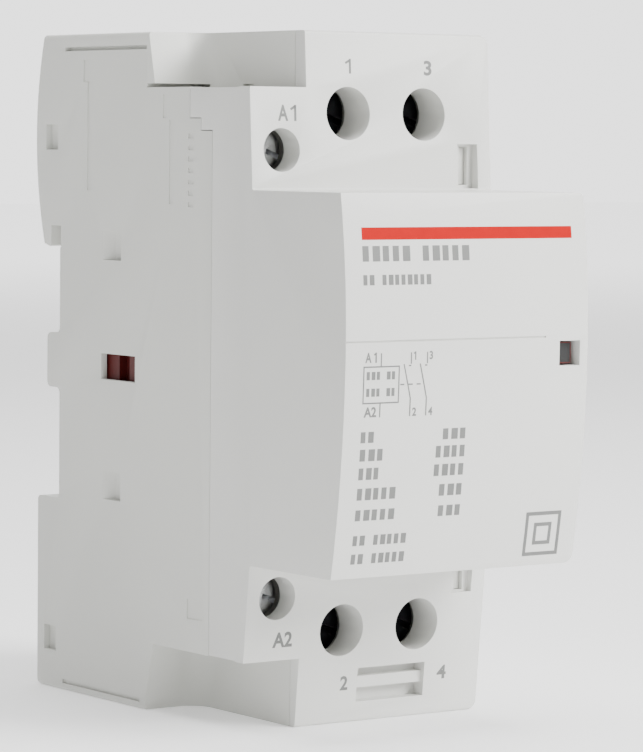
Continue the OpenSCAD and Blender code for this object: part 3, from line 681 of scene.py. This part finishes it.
@dataclass(frozen=True)
class Rounding:
    """How a casting's or moulding's sharp edges are rounded."""

    radius_mm: float = 0.22
    segments: int = 3
    least_turn: float = 28.0
    room_in_radii: float = 2.6

    def copy_of(self, node: str, name: str) -> bpy.types.Object:
        """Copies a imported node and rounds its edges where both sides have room.

        Args:
            node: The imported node's name.
            name: Name of the copy.

        Returns:
            The rounded copy.
        """
        bm = bmesh.new()
        bm.from_mesh(frame["nodes"][node].data)
        bmesh.ops.remove_doubles(bm, verts=bm.verts, dist=MERGE_MM * MM)
        bmesh.ops.dissolve_limit(
            bm, angle_limit=math.radians(FLAT_TURN), verts=bm.verts, edges=bm.edges,
            use_dissolve_boundaries=False, delimit=set(),
        )
        room = self.room_in_radii * self.radius_mm * MM
        edges = [
            e for e in bm.edges
            if len(e.link_faces) == 2
            and abs(e.calc_face_angle(0.0)) > math.radians(self.least_turn)
            and all(f.calc_area() / e.calc_length() > room for f in e.link_faces)
        ]
        bmesh.ops.bevel(
            bm, geom=edges, offset=self.radius_mm * MM, offset_type="OFFSET", segments=self.segments,
            profile=0.5, affect="EDGES", clamp_overlap=True, loop_slide=True,
        )
        return object_from(name, bm)


def soften(piece: bpy.types.Object, width_mm: float, segments: int = 2) -> None:
    """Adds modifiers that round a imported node's edges.

    Args:
        piece: The node's object.
        width_mm: Width of the rounding.
        segments: Steps across it.
    """
    weld = piece.modifiers.new("Weld", "WELD")
    weld.merge_threshold = MERGE_MM * MM
    flatten = piece.modifiers.new("Flatten", "DECIMATE")
    flatten.decimate_type = "DISSOLVE"
    flatten.angle_limit = math.radians(FLAT_TURN)
    bevel = piece.modifiers.new("Soft edges", "BEVEL")
    bevel.width = width_mm * MM
    bevel.segments = segments
    bevel.limit_method = "ANGLE"
    bevel.angle_limit = math.radians(SHARP_TURN)
    bevel.harden_normals = True


@dataclass(frozen=True)
class Wire:
    """Round wire bent to a coil along +Z, with closed and ground end turns."""

    radius_mm: float
    wire_mm: float
    length_mm: float
    turns: float
    per_turn: int = 36
    sides: int = 12
    lean: float = 0.03
    ground_share: float = 0.35
    ground_turns: float = 0.5

    def rise(self, t: float) -> float:
        """Returns the height of the wire's centre after t turns."""
        pitch = (self.length_mm - 3 * self.wire_mm) / (self.turns - 2)
        if t < 1:
            return self.wire_mm * (0.5 + t)
        if t > self.turns - 1:
            return self.length_mm - self.wire_mm * (0.5 + self.turns - t)
        return self.wire_mm * 1.5 + pitch * (t - 1)

    def piece(self, name: str, matrix: Matrix) -> bpy.types.Object:
        """Sweeps the wire.

        Args:
            name: The piece's name.
            matrix: Where +Z and the coil's start go, in millimetres.

        Returns:
            The spring.
        """
        steps = round(self.turns * self.per_turn)
        rings = []
        for i in range(steps + 1):
            t = i / self.per_turn
            angle = math.tau * t
            out = Vector((math.cos(angle), math.sin(angle), 0))
            along = Vector((-math.sin(angle), math.cos(angle), self.lean)).normalized()
            side = along.cross(out)
            centre = out * self.radius_mm + Vector((0, 0, self.rise(t)))
            taper = min(1.0, self.ground_share + min(t, self.turns - t) / self.ground_turns)
            reach = self.wire_mm / 2
            ring = []
            for k in range(self.sides):
                a = math.tau * k / self.sides
                ring.append(centre + out * reach * math.cos(a) + side * reach * taper * math.sin(a))
            rings.append(turn(ring, matrix))
        return mesh_piece(name, *skin(rings))


def lathe(profile: Sequence[Flat], sides: int = 48) -> bmesh.types.BMesh:
    """Turns a closed outline round +Z.

    Args:
        profile: Radius and height pairs in millimetres, first and last on the axis.
        sides: Facets round the axis.

    Returns:
        The solid, in metres.
    """
    bm = bmesh.new()
    angles = [math.tau * k / sides for k in range(sides)]
    rings = []
    for radius, height in profile:
        around = angles if radius else angles[:1]
        ring = [(radius * math.cos(a), radius * math.sin(a), height) for a in around]
        rings.append([bm.verts.new(metres(p)) for p in ring])
    for lower, upper in zip(rings, rings[1:]):
        for k in range(sides):
            after = (k + 1) % sides
            if len(lower) == 1:
                bm.faces.new((lower[0], upper[after], upper[k]))
            elif len(upper) == 1:
                bm.faces.new((lower[k], lower[after], upper[0]))
            else:
                bm.faces.new((lower[k], lower[after], upper[after], upper[k]))
    return bm


# ------------------------------------------------------------- sub-assemblies


@dataclass
class Part:
    """A sub-assembly: it makes or dresses its pieces and sets the body that each rides on."""

    paint: Paint

    def ready(self, piece: bpy.types.Object, finish: Finish, body: str, *nodes: str) -> bpy.types.Object:
        """Dresses a new piece and ties it to the frame.

        Args:
            piece: The piece.
            finish: Its finish.
            body: The body that it rides on.
            *nodes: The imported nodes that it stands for.

        Returns:
            The piece.
        """
        self.paint.dress(piece, finish)
        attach(piece, body)
        if nodes:
            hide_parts(*nodes)
        log.info("piece %s on body %s, %d faces", piece.name, body, len(piece.data.polygons))
        return piece

    def keep(self, node: str, finish: Finish, width_mm: float = 0.15, segments: int = 2) -> None:
        """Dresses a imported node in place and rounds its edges.

        Args:
            node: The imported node's name.
            finish: Its finish.
            width_mm: Width of the rounding, or 0 for none.
            segments: Steps across it.
        """
        piece = frame["nodes"][node]
        self.paint.dress(piece, finish)
        if width_mm:
            soften(piece, width_mm, segments)
        log.info("node %s finished as %s", node, finish.name.lower())


@dataclass
class Casing(Part):
    """Both halves of the casing."""

    rear: Rounding = Rounding(radius_mm=0.2)
    front: Rounding = Rounding(radius_mm=0.25)

    def build(self) -> None:
        """Makes the rounded shells and dresses the block between them."""
        shells = (
            ("rear_shell", "base_housing", self.rear, Finish.CASING_REAR),
            ("front_shell", "front_cover", self.front, Finish.CASING_FRONT),
        )
        for name, node, rounding, finish in shells:
            self.ready(rounding.copy_of(node, name), finish, "casing", node)
        self.keep("contact_block", Finish.BLOCK)


@dataclass
class Clip(Part):
    """The rail clip and its spring."""

    travel_mm: float = 3.5
    spring: Wire = Wire(radius_mm=1.25, wire_mm=0.5, length_mm=9.6, turns=8)

    def build(self) -> None:
        """Dresses the clip and winds its spring."""
        self.keep("din_clip", Finish.CLIP, 0.2)
        low, high = (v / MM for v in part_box("din_clip_spring"))
        centre = (low + high) / 2
        piece = self.spring.piece("clip_spring", Matrix.Translation((centre.x, centre.y, low.z)))
        self.ready(piece, Finish.SPRING, "casing", "din_clip_spring")
        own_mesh(piece)


@dataclass
class Magnet(Part):
    """Fixed core, coil, armature and return springs."""

    turn_pitch_mm: float = 0.42
    section_steps: int = 6
    corner_steps: int = 6
    corner_mm: float = 3.0
    layer_mm: float = 0.8
    travel_mm: float = 3.8
    spring: Wire = Wire(radius_mm=1.85, wire_mm=0.55, length_mm=20.2, turns=10)

    def build(self) -> None:
        """Dresses the magnet and winds the coil and the springs."""
        self.keep("fixed_core", Finish.LAMINATION, 0.08, 1)
        self.keep("armature", Finish.LAMINATION, 0.08, 1)
        self.keep("armature_pin", Finish.ZINC, 0.25)
        self.keep("core_pads", Finish.RUBBER, 0.3)
        self.keep("shading_rings", Finish.COPPER)
        self.keep("coil_bobbin", Finish.BOBBIN, 0.2)
        self.winding()
        for terminal in ("a1", "a2"):
            self.keep(f"coil_lead_{terminal}", Finish.WINDING, 0)
        self.return_springs()

    def winding(self) -> None:
        """Lays the outer turns of wire round the bobbin, as a closed sleeve ribbed by the turns."""
        low, high = (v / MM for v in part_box("coil_winding"))
        turns = round((high.y - low.y) / self.turn_pitch_mm)
        pitch = (high.y - low.y) / turns
        section = []
        for i in range(turns):
            for k in range(self.section_steps):
                share = k / self.section_steps
                bulge = pitch / 2 * math.sin(math.pi * share)
                section.append((low.y + pitch * (i + share), bulge - pitch / 2))
        section.append((high.y, -pitch / 2))
        rings = []
        for quarter, (sx, sz) in enumerate(((1, 1), (-1, 1), (-1, -1), (1, -1))):
            for k in range(self.corner_steps + 1):
                angle = math.pi / 2 * (quarter + k / self.corner_steps)
                out = Vector((math.cos(angle), 0, math.sin(angle)))
                core = Vector((sx * (high.x - self.corner_mm), 0, sz * (high.z - self.corner_mm)))
                outer = [core + out * (self.corner_mm + lift) + Vector((0, y, 0)) for y, lift in section]
                inner = core - Vector((sx, 0, sz)) * self.layer_mm
                inner_ring = [Vector((inner.x, y, inner.z)) for y in (high.y, low.y)]
                rings.append(outer + inner_ring)
        piece = mesh_piece("coil_turns", *skin(rings, closed=True))
        self.ready(piece, Finish.WINDING, "casing", "coil_winding")

    def return_springs(self) -> None:
        """Winds the two springs that push the carrier forward."""
        low, high = (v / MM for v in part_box("return_springs"))
        reach = self.spring.radius_mm + self.spring.wire_mm / 2
        springs = []
        for x, z in ((low.x + reach, low.z + reach), (high.x - reach, high.z - reach)):
            place = Matrix.Translation((x, high.y, z)) @ Matrix.Rotation(math.pi / 2, 4, "X")
            springs.append(self.spring.piece(f"return_spring_{len(springs) + 1}", place))
        for piece, nodes in zip(springs, (("return_springs",), ())):
            self.ready(piece, Finish.SPRING, "casing", *nodes)
            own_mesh(piece)


@dataclass
class Contacts(Part):
    """Carrier, moving bridges with their springs, and fixed contacts."""

    over_travel_mm: float = 0.9
    flag_x: Flat = (14.0, 16.05)
    flag_z: Flat = (2.45, 4.75)
    # How far the flag's painted shade stands proud of the flag.
    flag_shade_mm: float = 0.015
    spring: Wire = Wire(radius_mm=1.9, wire_mm=0.5, length_mm=5.0, turns=5)

    def build(self) -> None:
        """Dresses the contacts and winds the contact springs."""
        self.keep("contact_carrier", Finish.CARRIER)
        self.flag_painted_shade()
        for side in ("left", "right"):
            self.keep(f"bridge_{side}", Finish.COPPER, 0.2)
            self.keep(f"bridge_tips_{side}", Finish.SILVER, 0.2)
            self.contact_spring(side)
        for number in "1324":
            self.keep(f"terminal_bar_{number}", Finish.BRASS)
        self.keep("fixed_tips", Finish.SILVER, 0.2)

    def flag_painted_shade(self) -> None:
        """Lays a black sheet on the front of the state flag as painted shade: the red flag looks black in
        its window because it lies in shadow there while the coil is off.
        """
        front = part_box("contact_carrier")[0].y / MM
        ink = Ink(Face(lambda _: front, proud_mm=self.flag_shade_mm))
        ink.bar(self.flag_x, self.flag_z)
        self.ready(ink.piece("flag_painted_shade"), Finish.PAINTED_SHADE_BLACK, "carrier")

    def contact_spring(self, side: str) -> None:
        """Winds the spring of one bridge."""
        low, high = (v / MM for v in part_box(f"contact_spring_{side}"))
        wire = Wire(self.spring.radius_mm, self.spring.wire_mm, high.y - low.y, self.spring.turns)
        place = Matrix.Translation(((low.x + high.x) / 2, high.y, 0)) @ Matrix.Rotation(math.pi / 2, 4, "X")
        piece = wire.piece(f"{side}_bridge_spring", place)
        self.ready(piece, Finish.SPRING, "carrier", f"contact_spring_{side}")
        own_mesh(piece)


@dataclass(frozen=True)
class TerminalScrew:
    """One size of clamp screw: a head with a cross and slot recess over a threaded shank."""

    head_r: float
    head_h: float
    shank_r: float
    shank_h: float
    pitch: float
    recess_w: float
    finish: Finish
    recess_share: float = 0.68
    ridge_share: float = 0.5
    tip_taper: float = 0.25
    tip_steps: int = 5
    overlap: float = 0.05
    sides: int = 48
    steps_per_pitch: int = 8
    smooth_below: float = 30.0

    def head(self) -> bpy.types.Object:
        """Turns the head and cuts its recess."""
        r, h = self.head_r, self.head_h
        dome = [(0, 0), (0.55 * r, 0), (0.8 * r, 0.03 * h), (0.93 * r, 0.1 * h), (r, 0.3 * h)]
        foot = [(r, 0.93 * h), (0.96 * r, h), (0, h)]
        head = object_from("head", lathe(dome + foot, self.sides), self.smooth_below)
        cutter = bmesh.new()
        # Turn in degrees, half length in radii and width in slot widths of the slot and the cross arm.
        for angle, half, width in ((20, 0.98, 0.8), (110, 0.62, 1.0)):
            made = bmesh.ops.create_cube(cutter, size=2)["verts"]
            for v in made:
                deep = v.co.z > 0
                v.co.x *= half * r * (0.94 if deep else 1.0)
                v.co.y *= self.recess_w / 2 * width * (0.8 if deep else 1.0)
                v.co.z = self.recess_share * h if deep else -1.0
                v.co = (Matrix.Rotation(math.radians(angle), 3, "Z") @ v.co) * MM
        tool = object_from("tool", cutter)
        cut = head.modifiers.new("Recess", "BOOLEAN")
        cut.operation = "DIFFERENCE"
        cut.solver = "EXACT"
        cut.use_self = True
        cut.object = tool
        apply_modifiers(head)
        bpy.data.objects.remove(tool)
        return head

    def shank(self) -> bpy.types.Object:
        """Forms the thread by rolling a ridge round the shank."""
        depth = self.ridge_share * self.pitch
        rings = []
        count = round(self.shank_h / self.pitch * self.steps_per_pitch)
        for i in range(count + 1):
            z = self.head_h - self.overlap + self.shank_h * i / count
            fade = min(1.0, i / self.steps_per_pitch, (count - i) / self.steps_per_pitch)
            core = self.shank_r - self.tip_taper * (1 - min(1.0, (count - i) / self.tip_steps))
            ring = []
            for k in range(self.sides):
                angle = math.tau * k / self.sides
                phase = (z / self.pitch - k / self.sides) % 1.0
                valley = 1 - abs(2 * phase - 1)
                radius = core - depth * valley * fade
                ring.append((radius * math.cos(angle), radius * math.sin(angle), z))
            rings.append(ring)
        return mesh_piece("shank", *skin(rings))

    def piece(self, name: str, place: Matrix) -> bpy.types.Object:
        """Joins head and shank at their place.

        Args:
            name: The piece's name.
            place: Where the head's face and the axis go, in millimetres.

        Returns:
            The screw.
        """
        head, shank = self.head(), self.shank()
        bm = bmesh.new()
        bm.from_mesh(head.data)
        bm.from_mesh(shank.data)
        for part in (head, shank):
            bpy.data.objects.remove(part)
        scaled = Matrix.Scale(MM, 4) @ place @ Matrix.Scale(1 / MM, 4)
        bmesh.ops.transform(bm, matrix=scaled, verts=bm.verts)
        return object_from(name, bm, self.smooth_below)


@dataclass
class Terminals(Part):
    """Screws, cages and strips of the main and the coil terminals."""

    main: TerminalScrew = TerminalScrew(
        head_r=3.75, head_h=1.7, shank_r=2.43, shank_h=7.65, pitch=0.8, recess_w=1.1,
        # Near-black finish: painted shade of the deep main terminal holes.
        finish=Finish.STEEL_DARKENED_AS_SHADE,
    )
    coil: TerminalScrew = TerminalScrew(
        head_r=2.75, head_h=2.2, shank_r=1.68, shank_h=6.85, pitch=0.6, recess_w=0.9,
        finish=Finish.ZINC,
    )

    def build(self) -> None:
        """Makes every screw and dresses every cage."""
        for number in "1324":
            self.screw(self.main, f"screw_{number}", f"main_screw_{number}")
            self.keep(f"cage_{number}", Finish.ZINC, 0.3)
        for name in ("a1", "a2"):
            self.screw(self.coil, f"coil_screw_{name}", f"coil_screw_{name}")
            self.keep(f"coil_cage_{name}", Finish.ZINC, 0.2)
            self.keep(f"coil_terminal_{name}", Finish.BRASS)

    def screw(self, kind: TerminalScrew, node: str, body: str) -> None:
        """Makes one screw in the place of its node.

        Args:
            kind: Its size.
            node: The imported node.
            body: The body that it rides on.
        """
        low, high = (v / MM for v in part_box(node))
        centre = (low + high) / 2
        place = Matrix.Translation((centre.x, low.y, centre.z)) @ Matrix.Rotation(-math.pi / 2, 4, "X")
        name = node.replace("screw", "clamp_screw")
        self.ready(kind.piece(name, place), kind.finish, body, node)


# -------------------------------------------------------------------- printing


@dataclass(frozen=True)
class Face:
    """A front face that takes printing: the depth of its surface at each height."""

    depth: Callable[[float], float]
    proud_mm: float = 0.01
    sunk_mm: float = 0.03

    def lift(self, point: Flat, out: bool) -> Point:
        """Returns the point of the print's front or back skin over x and z."""
        x, z = point
        return (x, self.depth(z) + (-self.proud_mm if out else self.sunk_mm), z)


@dataclass(frozen=True)
class FrontShape:
    """The curves and slopes of the front: heights, radii and how far each face leans back."""

    crown_z: float = 6.0
    radius_above: float = 110.0
    radius_below: float = 155.0
    shoulder: float = -44.3
    upper_z: Flat = (22.9, 42.2)
    upper_lean: float = 1.1
    lower_z: Flat = (-22.2, -42.8)
    lower_lean: float = 2.0

    def nose_depth(self, z: float) -> float:
        """Returns the depth of the nose's curved front at a height."""
        low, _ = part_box("front_cover")
        radius = self.radius_above if z > self.crown_z else self.radius_below
        return low.y / MM + radius - math.sqrt(radius**2 - (z - self.crown_z) ** 2)

    def terminal_depth(self, z: float) -> float:
        """Returns the depth of the terminal faces above and below the nose."""
        (start, end), lean = (self.upper_z, self.upper_lean) if z > 0 else (self.lower_z, self.lower_lean)
        return self.shoulder + lean * (z - start) / (end - start)


class Ink:
    """Collects printed shapes as one mesh of thin closed slabs."""

    boldness = 0.03
    block_share = 0.62
    wider_by = 0.12
    stem_share = 0.17
    flag_start = 0.4
    flag_fall = 0.45
    flag_share = 0.9
    merge = 1e-5

    def __init__(self, face: Face, step_mm: float = 0.8) -> None:
        """Takes the face to print on and the longest stretch left flat."""
        self.face = face
        self.step = step_mm
        self.bm = bmesh.new()

    def quad_strip(self, left: Sequence[Flat], right: Sequence[Flat]) -> None:
        """Prints the area between two rows of points, as a closed slab.

        Args:
            left: Points along one side.
            right: As many points along the other side.
        """
        skins = [
            [[self.bm.verts.new(metres(self.face.lift(p, out))) for p in row] for row in (left, right)]
            for out in (True, False)
        ]
        (fl, fr), (bl, br) = skins
        for i in range(len(left) - 1):
            self.bm.faces.new((fl[i], fr[i], fr[i + 1], fl[i + 1]))
            self.bm.faces.new((bl[i], bl[i + 1], br[i + 1], br[i]))
            self.bm.faces.new((fl[i], fl[i + 1], bl[i + 1], bl[i]))
            self.bm.faces.new((fr[i], br[i], br[i + 1], fr[i + 1]))
        for i in (0, -1):
            self.bm.faces.new((fl[i], bl[i], br[i], fr[i]))

    def bar(self, x: Flat, z: Flat) -> None:
        """Prints a rectangle between two sides and two heights."""
        steps = max(1, math.ceil(abs(z[1] - z[0]) / self.step))
        rows = [z[0] + (z[1] - z[0]) * i / steps for i in range(steps + 1)]
        self.quad_strip([(x[0], v) for v in rows], [(x[1], v) for v in rows])

    def stroke(self, start: Flat, end: Flat, width: float) -> None:
        """Prints a straight line of one width."""
        a, b = Vector(start), Vector(end)
        side = (b - a).orthogonal().normalized() * width / 2
        steps = max(1, math.ceil((b - a).length / self.step))
        spots = [a.lerp(b, i / steps) for i in range(steps + 1)]
        self.quad_strip([tuple(p - side) for p in spots], [tuple(p + side) for p in spots])

    def outline(self, x: Flat, z: Flat, width: float) -> None:
        """Prints the outline of a rectangle, inside its limits."""
        self.bar(x, (z[0], z[0] + width))
        self.bar(x, (z[1] - width, z[1]))
        self.bar((x[0], x[0] + width), (z[0] + width, z[1] - width))
        self.bar((x[1] - width, x[1]), (z[0] + width, z[1] - width))

    def run_of_marks(self, x: Flat, z: Flat, marks: int, gaps: Sequence[int] = ()) -> None:
        """Prints a row of small upright blocks that stand for a line of lettering.

        Args:
            x: Left and right end.
            z: Lower and upper edge.
            marks: How many blocks fit the row.
            gaps: Places left empty, as between words.
        """
        cell = (x[1] - x[0]) / marks
        for i in range(marks):
            if i not in gaps:
                start = x[0] + cell * i
                share = self.block_share + (self.wider_by if i % 3 == 1 else 0.0)
                self.bar((start, start + cell * share), z)

    def one(self, x: Flat, z: Flat) -> None:
        """Prints the numeral one: an upright with a flag at its top left.

        Args:
            x: Left and right edge.
            z: Lower and upper edge.
        """
        width = self.stem_share * (z[1] - z[0])
        self.bar((x[1] - width, x[1]), z)
        top = z[1] - width / 2
        tip = (x[0], top - self.flag_fall * (x[1] - x[0]))
        self.stroke((x[1] - width * self.flag_start, top), tip, width * self.flag_share)

    def number(self, text: str, x: Flat, z: Flat) -> None:
        """Prints a terminal number, stretched to fill a rectangle.

        Args:
            text: The number.
            x: Left and right edge.
            z: Lower and upper edge.
        """
        if text == "1":
            self.one(x, z)
            return
        curve = bpy.data.curves.new("digits", "FONT")
        curve.body = text
        curve.resolution_u = 4
        curve.offset = self.boldness
        holder = bpy.data.objects.new("digits", curve)
        bpy.context.scene.collection.objects.link(holder)
        bpy.context.view_layer.update()
        evaluated = holder.evaluated_get(bpy.context.evaluated_depsgraph_get())
        mesh = bpy.data.meshes.new_from_object(evaluated)
        bpy.data.objects.remove(holder)
        glyph = bmesh.new()
        glyph.from_mesh(mesh)
        bpy.data.meshes.remove(mesh)
        bmesh.ops.remove_doubles(glyph, verts=glyph.verts, dist=self.merge)
        xs = [v.co.x for v in glyph.verts]
        ys = [v.co.y for v in glyph.verts]
        spots = [
            (
                x[0] + (v.co.x - min(xs)) / (max(xs) - min(xs)) * (x[1] - x[0]),
                z[0] + (v.co.y - min(ys)) / (max(ys) - min(ys)) * (z[1] - z[0]),
            )
            for v in glyph.verts
        ]
        front = [self.bm.verts.new(metres(self.face.lift(p, True))) for p in spots]
        back = [self.bm.verts.new(metres(self.face.lift(p, False))) for p in spots]
        glyph.verts.index_update()
        for face in glyph.faces:
            order = [v.index for v in face.verts]
            self.bm.faces.new([front[i] for i in order])
            self.bm.faces.new([back[i] for i in reversed(order)])
        for edge in glyph.edges:
            if len(edge.link_faces) == 1:
                a, b = (v.index for v in edge.verts)
                self.bm.faces.new((front[a], front[b], back[b], back[a]))
        glyph.free()

    def piece(self, name: str) -> bpy.types.Object:
        """Returns the printed shapes as one object."""
        return object_from(name, self.bm, 20)


@dataclass
class Printing(Part):
    """The printed marks, all generic: no maker, model or standard is named."""

    front: FrontShape = FrontShape()
    left: float = -15.45
    line: float = 0.17
    poles: Flat = (-8.55, -6.2)

    def build(self) -> None:
        """Prints every mark."""
        nose = Face(self.front.nose_depth)
        ends = Face(self.front.terminal_depth)
        stripe = Ink(nose)
        stripe.bar((self.left, 15.75), (17.45, 18.9))
        self.ready(stripe.piece("red_stripe"), Finish.INK_RED, "casing")
        self.ready(self.rows(nose).piece("label_rows"), Finish.INK_GREY, "casing")
        self.ready(self.circuit(nose).piece("circuit_symbol"), Finish.INK_GREY, "casing")
        self.ready(self.class_mark(nose).piece("double_square_mark"), Finish.INK_GREY, "casing")
        self.ready(self.numbers(ends).piece("terminal_numbers"), Finish.INK_GREY, "casing")

    def rows(self, face: Face) -> Ink:
        """Prints the title and the table of values as plain blocks."""
        ink = Ink(face)
        ink.run_of_marks((self.left, 0.5), (14.95, 16.75), 11, (5,))
        ink.run_of_marks((self.left, -5.4), (12.2, 13.4), 11, (2,))
        table = (
            (-5.5, 1.3, 2, -13.3, 3, -3.5),
            (-7.6, 1.4, 3, -11.7, 4, -4.4),
            (-9.8, 1.4, 3, -12.2, 4, -4.5),
            (-12.2, 1.4, 5, -9.6, 3, -3.5),
            (-14.7, 1.3, 5, -9.5, 3, -3.4),
        )
        for z, height, marks, end, value_marks, value_start in table:
            ink.run_of_marks((self.left, end), (z - height / 2, z + height / 2), marks)
            ink.run_of_marks((value_start, 0.3), (z - height / 2, z + height / 2), value_marks)
        for z in (-17.7, -19.9):
            ink.run_of_marks((self.left, -7.5), (z - 0.6, z + 0.6), 8, (2,))
        return ink

    def circuit(self, face: Face) -> Ink:
        """Prints the circuit symbol: a coil and two normally open poles."""
        ink = Ink(face, step_mm=0.5)
        ink.outline((self.left, -10.2), (-1.6, 2.8), self.line)
        for z in (-0.75, 1.2):
            ink.run_of_marks((self.left + 0.5, -10.6), (z, z + 0.95), 6, (3,))
        for ends in ((2.8, 4.3), (-3.2, -1.6)):
            ink.bar((-12.98, -12.81), ends)
        ink.number("A", (-15.2, -14.3), (3.2, 4.4))
        ink.number("1", (-13.95, -13.55), (3.2, 4.4))
        ink.number("A2", (-15.2, -13.4), (-3.15, -1.95))
        names = (("1", (0.35, 0.7), "2"), ("3", (0.3, 0.8), "4"))
        for x, (upper, upper_x, lower) in zip(self.poles, names):
            wire = (x - self.line / 2, x + self.line / 2)
            ink.bar(wire, (-3.2, -1.1))
            ink.stroke((x, -1.1), (x - 1.05, 2.95), self.line)
            ink.bar(wire, (2.95, 4.3))
            ink.stroke((x - 0.35, 2.75), (x, 2.75), self.line)
            ink.number(upper, (x + upper_x[0], x + upper_x[1]), (3.4, 4.4))
            ink.number(lower, (x + 0.35, x + 0.95), (-3.2, -2.2))
        for dash in ((-10.07, -9.48), (-8.9, -8.25), (-7.7, -7.1)):
            ink.bar(dash, (0.47, 0.64))
        return ink

    def class_mark(self, face: Face) -> Ink:
        """Prints a plain double square, the common sign for double insulation."""
        ink = Ink(face)
        x, z = 12.8, -18.3
        for half in (2.7, 1.35):
            ink.outline((x - half, x + half), (z - half, z + half), width=0.45)
        return ink

    def numbers(self, face: Face) -> Ink:
        """Prints the terminal numbers beside their screws."""
        ink = Ink(face)
        marks = (
            ("1", (-3.95, -3.1), (37.05, 38.85)),
            ("3", (7.95, 9.15), (37.0, 38.85)),
            ("A", (-14.05, -12.55), (31.2, 33.15)),
            ("1", (-12.2, -11.35), (31.2, 33.15)),
            ("2", (-3.35, -2.2), (-38.7, -36.9)),
            ("4", (11.5, 12.95), (-38.4, -36.65)),
            ("A2", (-13.9, -11.0), (-32.6, -30.7)),
        )
        for mark in marks:
            ink.number(*mark)
        return ink


# ---------------------------------------------------------------------- studio


@dataclass(frozen=True)
class SoftBox:
    """A square soft light aimed at the object."""

    name: str
    place_m: Point
    size_m: float
    power_w: float
    colour: Colour = (1.0, 1.0, 1.0)

    def build(self, target: Vector) -> None:
        """Makes the light and turns it to the target."""
        light = bpy.data.lights.new(self.name, "AREA")
        light.size = self.size_m
        light.energy = self.power_w
        light.color = self.colour
        lamp = bpy.data.objects.new(self.name, light)
        lamp.location = self.place_m
        lamp.rotation_euler = (target - Vector(self.place_m)).to_track_quat("-Z", "Y").to_euler()
        bpy.context.scene.collection.objects.link(lamp)


@dataclass
class Studio:
    """Floor, lights, surroundings and camera."""

    floor_half_m: float = 3.0
    floor_colour: Colour = (0.86, 0.86, 0.86)
    floor_glow: float = 0.36
    far_glow: float = 1.6
    glow_rise_mm: tuple[float, float] = (500.0, 1800.0)
    sky: float = 0.52
    backdrop: float = 2.4
    backdrop_cosines: Flat = (0.55, 0.9)
    lights: tuple[SoftBox, ...] = (
        SoftBox("key_light", place_m=(0.5, -0.75, 0.5), size_m=0.5, power_w=20.0),
        SoftBox("top_light", place_m=(0.0, -0.1, 0.8), size_m=0.5, power_w=7.0),
    )
    yaw: float = math.radians(35.2)
    pitch: float = math.radians(-3.7)
    roll: float = math.radians(0.54)
    eye_mm: Point = (-262.44, -405.49, 28.94)
    lens_mm: float = 174.6
    sensor_mm: float = 36.0

    def build(self) -> None:
        """Makes everything that isn't part of the object."""
        low, high = cad_box
        self.floor(low.z)
        for light in self.lights:
            light.build((low + high) / 2)
        self.surroundings()
        self.camera()

    def floor(self, z: float) -> None:
        """Lays a large pale floor under the object, lit from within and more so far away."""
        half = self.floor_half_m
        bm = bmesh.new()
        bmesh.ops.create_grid(bm, x_segments=1, y_segments=1, size=half)
        bmesh.ops.translate(bm, verts=bm.verts, vec=(0, 0, z))
        floor = object_from("floor", bm)
        material, g = start_material("Pale floor")
        patches_per_mm, patch_tone = 0.02, 0.99
        darker = tuple(c * patch_tone for c in self.floor_colour)
        tone = g.mix(g.noise(g.place(), patches_per_mm), rgba(self.floor_colour), rgba(darker))
        away = g.vector("LENGTH", g.place()).outputs["Value"]
        glow = g.ramp(away, self.glow_rise_mm, (self.floor_glow, self.far_glow))
        shader = g.node(
            "ShaderNodeBsdfPrincipled", None, Base_Color=tone, Roughness=0.9,
            Emission_Color=(1, 1, 1, 1), Emission_Strength=glow,
        )
        g.node("ShaderNodeOutputMaterial", None, Surface=shader.outputs[0])
        floor.data.materials.append(material)

    def surroundings(self) -> None:
        """Sets a white studio, brighter behind the object than in front of it."""
        world = bpy.data.worlds.new("studio")
        world.use_nodes = True
        world.node_tree.nodes.clear()
        g = Graph(world.node_tree)
        direction = g.node("ShaderNodeTexCoord").outputs["Generated"]
        behind = Vector((math.sin(self.yaw), math.cos(self.yaw), 0))
        toward = g.vector("DOT_PRODUCT", direction, i1=behind).outputs["Value"]
        strength = g.ramp(toward, self.backdrop_cosines, (self.sky, self.backdrop))
        background = g.node("ShaderNodeBackground", None, Color=(1, 1, 1, 1), Strength=strength)
        g.node("ShaderNodeOutputWorld", None, Surface=background.outputs[0])
        bpy.context.scene.world = world

    def camera(self) -> None:
        """Sets the camera in front of the left edge, a little above the middle."""
        ahead = Vector(
            (
                math.sin(self.yaw) * math.cos(self.pitch),
                math.cos(self.yaw) * math.cos(self.pitch),
                math.sin(self.pitch),
            )
        )
        level = Vector((math.cos(self.yaw), -math.sin(self.yaw), 0))
        upright = level.cross(ahead)
        right = level * math.cos(self.roll) + upright * math.sin(self.roll)
        up = upright * math.cos(self.roll) - level * math.sin(self.roll)
        data = bpy.data.cameras.new("camera")
        data.sensor_width = self.sensor_mm
        data.lens = self.lens_mm
        data.clip_start = 0.01
        camera = bpy.data.objects.new("camera", data)
        facing = Matrix((right, up, -ahead)).transposed().to_4x4()
        camera.matrix_world = Matrix.Translation(metres(self.eye_mm)) @ facing
        bpy.context.scene.collection.objects.link(camera)
        bpy.context.scene.camera = camera


def save_sizes() -> None:
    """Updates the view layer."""
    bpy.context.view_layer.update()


def main() -> None:
    """Builds the sub-assemblies in order, then the studio."""
    logging.basicConfig(level=logging.INFO, format="%(name)s: %(message)s")
    Studio().build()
    paint = Paint()
    for kind in (Casing, Clip, Magnet, Contacts, Terminals, Printing):
        kind(paint).build()
        log.info("%s is done", kind.__name__)
    save_sizes()


if __name__ == "__main__":
    main()
